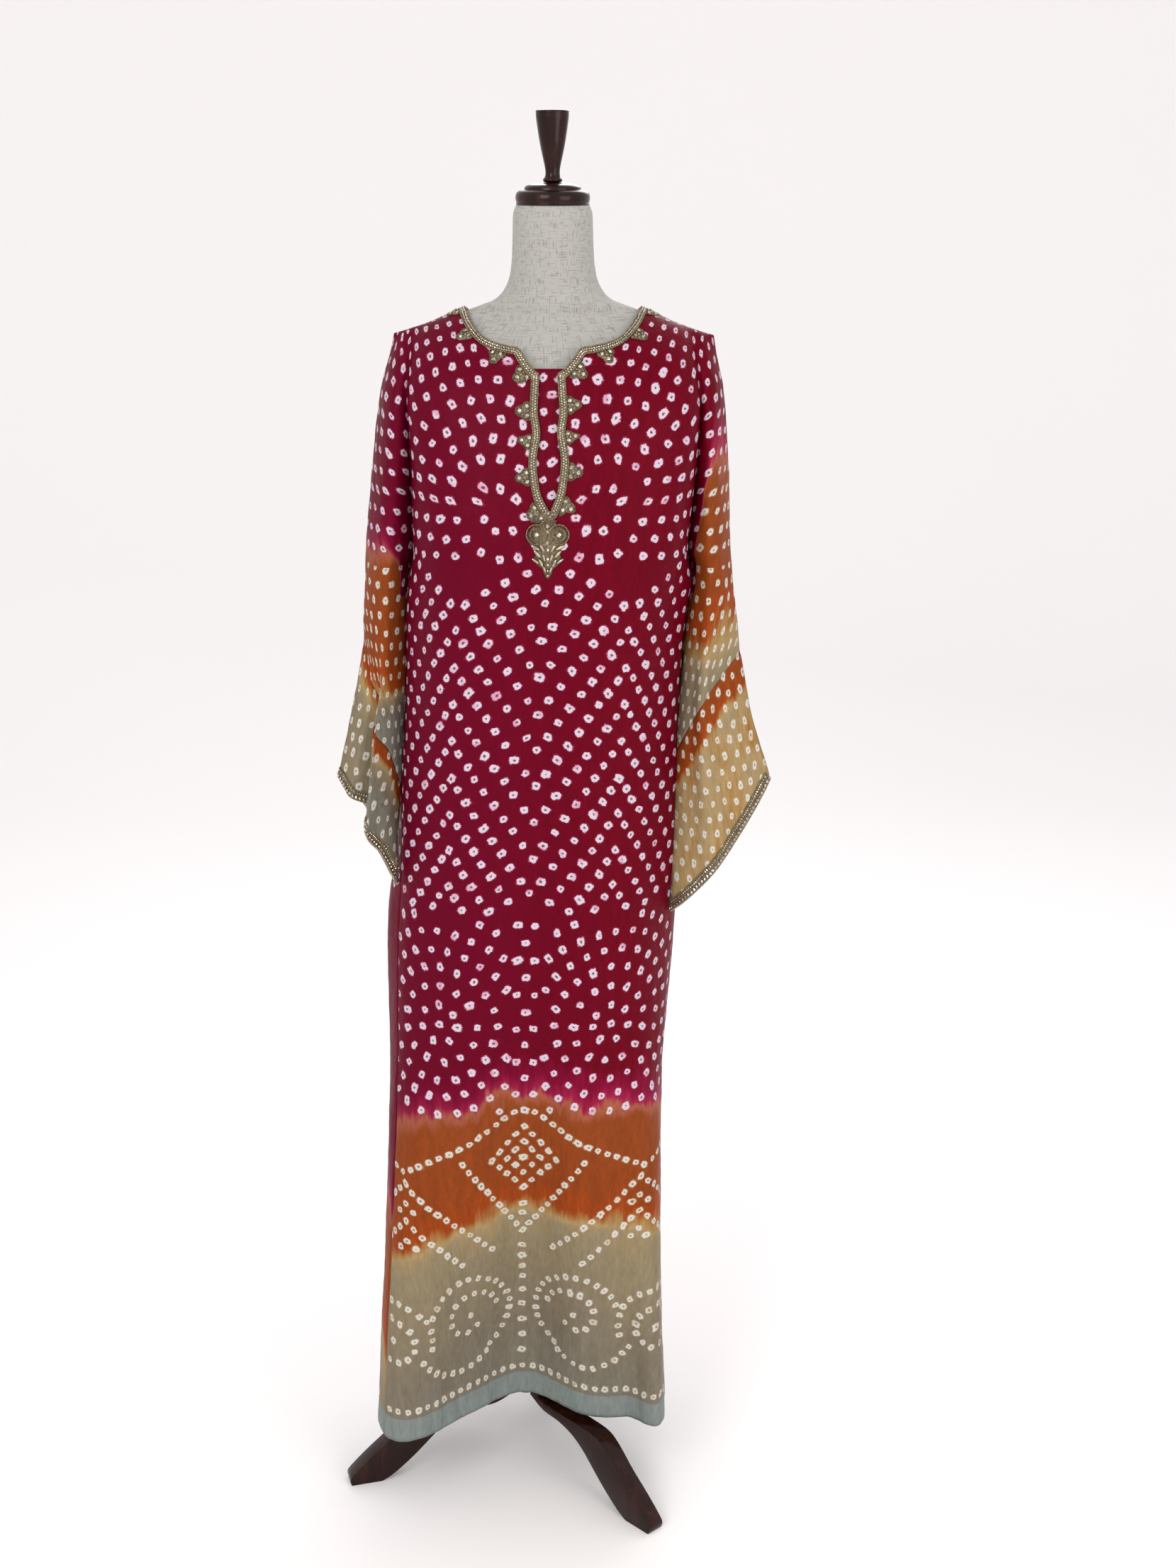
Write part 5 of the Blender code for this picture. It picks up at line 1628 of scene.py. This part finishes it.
# Colours of the silk along its dye value, which is divided by 4
CRIMSON = (0.116, 0.0001, 0.0080)
DYES = (
    (0.000, CRIMSON),
    (0.160, CRIMSON),
    (0.205, (0.180, 0.0020, 0.0260)),
    (0.236, (0.270, 0.012, 0.050)),
    (0.252, (0.310, 0.090, 0.050)),
    (0.275, (0.215, 0.046, 0.010)),
    (0.430, (0.215, 0.043, 0.008)),
    (0.482, (0.260, 0.043, 0.006)),
    (0.510, (0.300, 0.175, 0.060)),
    (0.530, (0.315, 0.220, 0.105)),
    (0.560, (0.225, 0.180, 0.105)),
    (0.660, (0.166, 0.140, 0.100)),
    (0.760, (0.158, 0.156, 0.128)),
    (0.800, (0.168, 0.200, 0.187)),
)


def silk_material(weave, tied_dot):
    """Tie-dyed silk: bled dyes by height, tied dots, crumples, a fine weave, and a painted cool shade
    on its left side.
    """
    material, shader, surface = new_material("tie_dyed_silk", Specular_IOR_Level=0.045)
    cloth = shader.uv("cloth")
    dye = shader.node("SeparateXYZ", {"Vector": shader.uv("dye")}).outputs["X"]
    up = shader.node("SeparateXYZ", {"Vector": cloth}).outputs["Y"]
    streaks = shader.noise(shader.stretch(cloth, (85, 14, 1)), 1.0, 3.0, 0.6)
    blots = shader.noise(shader.stretch(cloth, (16, 11, 1)), 1.0, 2.0)
    wander = shader.math("MULTIPLY", shader.math("SUBTRACT", streaks, 0.5), 0.30)
    drift = shader.math("MULTIPLY", shader.math("SUBTRACT", blots, 0.5), 0.42)
    bled = shader.math("ADD", shader.math("ADD", dye, wander), drift)
    ground = shader.ramp(shader.math("DIVIDE", bled, 4.0), DYES)
    hem = shader.soft_step(shader.math("ADD", up, shader.math("MULTIPLY", streaks, 0.002)),
                           HEM_STITCH + 0.0018, HEM_STITCH + 0.0008)
    ground = shader.blend(hem, ground, (0.178, 0.206, 0.192, 1))
    # Uneven take-up of the dye: long streaks and small crumple marks
    marks = shader.noise(shader.stretch(cloth, (260, 60, 1)), 1.0, 2.0, 0.6)
    depth = shader.math("MULTIPLY_ADD", streaks, 0.55, 0.72)
    depth = shader.math("MULTIPLY", depth, shader.math("MULTIPLY_ADD", marks, 0.50, 0.75))
    ground = shader.blend(1.0, ground, depth, "MULTIPLY")
    # Painted shade: the crimson on the kaftan's left side is blended towards a darker, bluer crimson,
    # standing in for the cooler shade that falls on that side
    sideways = shader.node("SeparateXYZ", {"Vector": shader.objects_place()}).outputs["X"]
    left_painted_shade = shader.soft_step(sideways, 0.12, -0.20)
    left_painted_shade = shader.math("MULTIPLY", left_painted_shade, shader.soft_step(bled, 1.1, 0.8))
    ground = shader.blend(shader.math("MULTIPLY", left_painted_shade, 0.7), ground, (0.108, 0.0008, 0.016, 1))
    first = shader.group(tied_dot, {"Dot": shader.uv("dot"), "Cloth": cloth})
    second = shader.group(tied_dot, {"Dot": shader.uv("next_dot"), "Cloth": cloth})
    ring, core, bleed, pucker = (shader.math("MAXIMUM", first[name], second[name])
                                 for name in ("Ring", "Core", "Bleed", "Height"))
    tone = shader.noise(cloth, 47, 1.0)
    low = shader.soft_step(bled, 0.9, 1.25)
    pale = shader.blend(low, (0.56, 0.50, 0.58, 1), (0.53, 0.53, 0.48, 1))
    pale = shader.blend(shader.soft_step(tone, 0.56, 0.72), pale,
                        shader.blend(low, (0.52, 0.29, 0.40, 1), (0.47, 0.42, 0.32, 1)))
    edge = shader.blend(low, (0.36, 0.030, 0.085, 1), (0.42, 0.25, 0.12, 1))
    colour = shader.blend(shader.math("MULTIPLY", bleed, 0.42), ground, edge)
    colour = shader.blend(shader.math("MULTIPLY", ring, 0.92), colour, pale)
    colour = shader.blend(shader.math("MULTIPLY", core, 0.86), colour, ground)
    shader.put(surface["Base Color"], colour)
    rough = shader.math("MULTIPLY_ADD", marks, 0.14, 0.40)
    shader.put(surface["Roughness"], shader.math("MULTIPLY_ADD", ring, 0.14, rough))
    threads = shader.group(weave, {"Place": cloth, "Threads": 1500.0})
    crumple = shader.noise(cloth, 75, 3.0, 0.62)
    creases = shader.noise(shader.stretch(cloth, (120, 34, 1)), 1.0, 2.0, 0.55)
    normal = shader.bump(crumple, 0.55, 0.0022)
    normal = shader.bump(creases, 0.40, 0.0016, normal)
    normal = shader.bump(pucker, 0.65, 0.0007, normal)
    normal = shader.bump(threads["Height"], 0.12, 0.00008, normal)
    shader.put(surface["Normal"], normal)
    return material


def linen_material(weave):
    """Coarse pale linen with dark slubs, stretched over the form."""
    material, shader, surface = new_material("form_linen", Sheen_Weight=0.12)
    place = shader.objects_place()
    parts = shader.node("SeparateXYZ", {"Vector": place}).outputs
    round_form = shader.math("ARCTAN2", parts["X"], shader.math("MULTIPLY", parts["Y"], -1.0))
    flat = shader.node("CombineXYZ", {"X": shader.math("MULTIPLY", round_form, 0.06),
                                      "Y": parts["Z"]}).outputs[0]
    threads = shader.group(weave, {"Place": flat, "Threads": 900.0})
    slub = shader.soft_step(threads["Slub"], 0.56, 0.70)
    colour = shader.blend(slub, (0.375, 0.370, 0.345, 1), (0.215, 0.200, 0.172, 1))
    flecks = shader.soft_step(shader.noise(shader.stretch(flat, (800, 1500, 1)), 1.0, 2.0, 0.6),
                              0.60, 0.72)
    colour = shader.blend(shader.math("MULTIPLY", flecks, 0.5), colour, (0.15, 0.135, 0.11, 1))
    clouds = shader.noise(place, 14.0, 3.0)
    shader.put(surface["Base Color"],
               shader.blend(shader.math("MULTIPLY", clouds, 0.35), colour, (0.41, 0.40, 0.37, 1)))
    shader.put(surface["Roughness"], shader.math("MULTIPLY_ADD", slub, -0.08, 0.92))
    shader.put(surface["Normal"], shader.bump(threads["Height"], 0.45, 0.0003))
    return material


def mahogany_material():
    """Dark red-brown wood under a high polish."""
    material, shader, surface = new_material(
        "polished_mahogany", Coat_Weight=0.16, Coat_Roughness=0.05, Specular_IOR_Level=0.15)
    place = shader.objects_place()
    grain = shader.noise(shader.stretch(place, (60, 60, 7)), 1.0, 4.0, 0.65)
    pores = shader.noise(shader.stretch(place, (420, 420, 26)), 1.0, 1.0)
    colour = shader.ramp(grain, ((0.25, (0.007, 0.0018, 0.0010)), (0.50, (0.015, 0.0034, 0.0018)),
                                 (0.72, (0.034, 0.0080, 0.0035))))
    dark = shader.soft_step(pores, 0.60, 0.72)
    shader.put(surface["Base Color"], shader.blend(dark, colour, (0.008, 0.0028, 0.0018, 1)))
    shader.put(surface["Roughness"], shader.math("MULTIPLY_ADD", grain, 0.20, 0.16))
    shader.put(surface["Normal"], shader.bump(pores, 0.10, 0.0002))
    return material


def thread_material(name, colour, shade, rough, scale):
    """Metal-wrapped thread, dulled in its hollows."""
    material, shader, surface = new_material(name, Metallic=0.75)
    place = shader.objects_place()
    worn = shader.noise(place, scale, 3.0, 0.6)
    fine = shader.noise(place, scale * 6, 1.0)
    shader.put(surface["Base Color"], shader.blend(shader.soft_step(worn, 0.35, 0.65),
                                                   (*shade, 1), (*colour, 1)))
    shader.put(surface["Roughness"], shader.math("MULTIPLY_ADD", fine, 0.2, rough))
    shader.put(surface["Normal"], shader.bump(fine, 0.5, 0.0004))
    return material


def bead_material(name, colour, other, rough, metal):
    """Glass or metal beads that differ a little from one to the next."""
    material, shader, surface = new_material(name, Metallic=metal, Coat_Weight=0.5)
    mixed = shader.noise(shader.objects_place(), 330.0, 1.0)
    shader.put(surface["Base Color"], shader.blend(shader.soft_step(mixed, 0.42, 0.58),
                                                   (*colour, 1), (*other, 1)))
    shader.put(surface["Roughness"], shader.math("MULTIPLY_ADD", mixed, 0.12, rough))
    return material


def studio_material():
    material, shader, surface = new_material("studio_floor", Roughness=0.9)
    clouds = shader.noise(shader.objects_place(), 1.5, 1.0)
    shader.put(surface["Base Color"], shader.blend(clouds, (0.89, 0.872, 0.872, 1),
                                                   (0.90, 0.882, 0.882, 1)))
    return material


# Studio

# The camera's place from the neck axis, its lens in mm and how far it looks down
CAMERA_PLACE = (0.0429, -2.7342, 1.813)
CAMERA_LENS = 49.87
CAMERA_TILT = 16.5

# The floor: width, where it starts, flat depth, radius of its sweep, rise of its wall
FLOOR_WIDTH = 24
FLOOR_START = -6.0
FLOOR_DEPTH = 9.0
SWEEP_RADIUS = 2.5
WALL_RISE = 5


def add_camera():
    """The photograph's view: slightly from above, the whole height in the frame."""
    camera = bpy.data.cameras.new("camera")
    camera.sensor_width = 36.0
    camera.lens = CAMERA_LENS
    item = bpy.data.objects.new("camera", camera)
    item.location = NECK_AXIS + Vector(CAMERA_PLACE)
    item.rotation_euler = (radians(90 - CAMERA_TILT), 0, 0)
    bpy.context.scene.collection.objects.link(item)
    bpy.context.scene.camera = item


def add_floor():
    """A pale floor that sweeps up behind the stand."""
    shape = bmesh.new()
    grid = bmesh.ops.create_grid(shape, x_segments=1, y_segments=40, size=0.5)
    for vert in grid["verts"]:
        step = vert.co.y + 0.5
        flat = FLOOR_START + FLOOR_DEPTH * min(step / 0.5, 1.0)
        turn = max(step - 0.5, 0.0) / 0.5 * pi / 2
        vert.co = Vector((vert.co.x * FLOOR_WIDTH, flat + SWEEP_RADIUS * sin(turn),
                          SWEEP_RADIUS * (1 - cos(turn))))
    wall = [edge for edge in shape.edges
            if all(vert.co.z > SWEEP_RADIUS - 0.01 for vert in edge.verts)]
    grown = bmesh.ops.extrude_edge_only(shape, edges=wall)
    top = [item for item in grown["geom"] if isinstance(item, bmesh.types.BMVert)]
    bmesh.ops.translate(shape, verts=top, vec=(0, 0, WALL_RISE))
    for face in shape.faces:
        face.smooth = True
    mesh = bpy.data.meshes.new("studio_sweep")
    shape.to_mesh(mesh)
    shape.free()
    item = bpy.data.objects.new("studio_sweep", mesh)
    mesh.materials.append(studio_material())
    bpy.context.scene.collection.objects.link(item)


Lamp = namedtuple("Lamp", "name place aim wide high power colour")
LAMPS = (
    Lamp("key", (-1.5, -3.2, 2.9), (0, 0, 1.0), 1.6, 2.2, 55, (1.0, 0.985, 0.97)),
    Lamp("fill", (2.2, -2.6, 1.7), (0, 0, 0.9), 1.8, 2.4, 34, (1.0, 0.97, 0.94)),
    Lamp("rim", (0.6, 2.4, 2.8), (0, 0, 1.3), 2.0, 1.2, 30, (0.97, 0.98, 1.0)),
)


def add_lights():
    for lamp in LAMPS:
        light = bpy.data.lights.new(lamp.name, "AREA")
        light.shape = "RECTANGLE"
        light.size = lamp.wide
        light.size_y = lamp.high
        light.energy = lamp.power
        light.color = lamp.colour
        item = bpy.data.objects.new(lamp.name, light)
        item.location = lamp.place
        item.rotation_euler = (Vector(lamp.aim) - Vector(lamp.place)).to_track_quat(
            "-Z", "Y").to_euler()
        bpy.context.scene.collection.objects.link(item)
    world = bpy.data.worlds.new("studio")
    world.use_nodes = True
    sky = world.node_tree.nodes["Background"].inputs
    sky["Color"].default_value = (0.95, 0.93, 0.93, 1)
    sky["Strength"].default_value = 1.0
    bpy.context.scene.world = world
    bpy.context.scene.view_settings.view_transform = "Standard"


def dress(item, material):
    item.data.materials.clear()
    item.data.materials.append(material)


def main():
    add_camera()
    cloth = Cloth()
    body_dots = lay_out_body()
    sleeve_dots = lay_out_sleeves()
    for side in (RIGHT, LEFT):
        for facing in (FRONT, BACK):
            cloth.add_half(side, facing, body_dots, sleeve_dots)
    cloth.drape()
    weave = weave_group()
    silk = silk_material(weave, tied_dot_group())
    silks = {name: cloth.cut_piece(name) for name in PIECES}
    for name, item in silks.items():
        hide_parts(name)
        dress(item, silk)
    underlap = add_underlap(lay_out_underlap())
    dress(underlap, silk)
    finishes = {
        "thread": thread_material("embroidery_thread", (0.23, 0.185, 0.115), (0.085, 0.065, 0.042),
                                  0.42, 420.0),
        "cord": thread_material("gold_cord", (0.36, 0.275, 0.155), (0.12, 0.088, 0.052), 0.30, 520.0),
        "pearl": bead_material("gold_pearls", (0.50, 0.41, 0.26), (0.32, 0.29, 0.25), 0.12, 0.8),
        "stone": bead_material("cut_stones", (0.66, 0.62, 0.52), (0.32, 0.27, 0.20), 0.03, 0.95),
    }
    front = cloth.surface("front")
    groups = {
        "front": add_neck_trim(front) + add_pendant(front),
        "back": add_back_neck_trim(cloth.surface("back")),
        "right_sleeve_end": add_cuff_trim("right_cuff", cloth.surface("right_sleeve_end"), RIGHT),
        "left_sleeve_end": add_cuff_trim("left_cuff", cloth.surface("left_sleeve_end"), LEFT),
    }
    for pieces in groups.values():
        for item, finish in pieces:
            dress(item, finishes[finish])
    form = add_form()
    dress(form, linen_material(weave))
    wood = mahogany_material()
    dress(add_turned("cap", "neck_cap", CAP_OUTLINE, NECK_AXIS), wood)
    dress(add_turned("finial_top", "finial", FINIAL_OUTLINE, NECK_AXIS), wood)
    for node, turn in zip(("right_leg", "left_leg", "back_leg"), LEG_ANGLES):
        dress(add_leg("sawn_" + node, node, turn), wood)
    for node in ("pole", "hub"):
        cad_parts[node].data.materials.clear()
        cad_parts[node].data.materials.append(wood)
    add_floor()
    add_lights()


main()
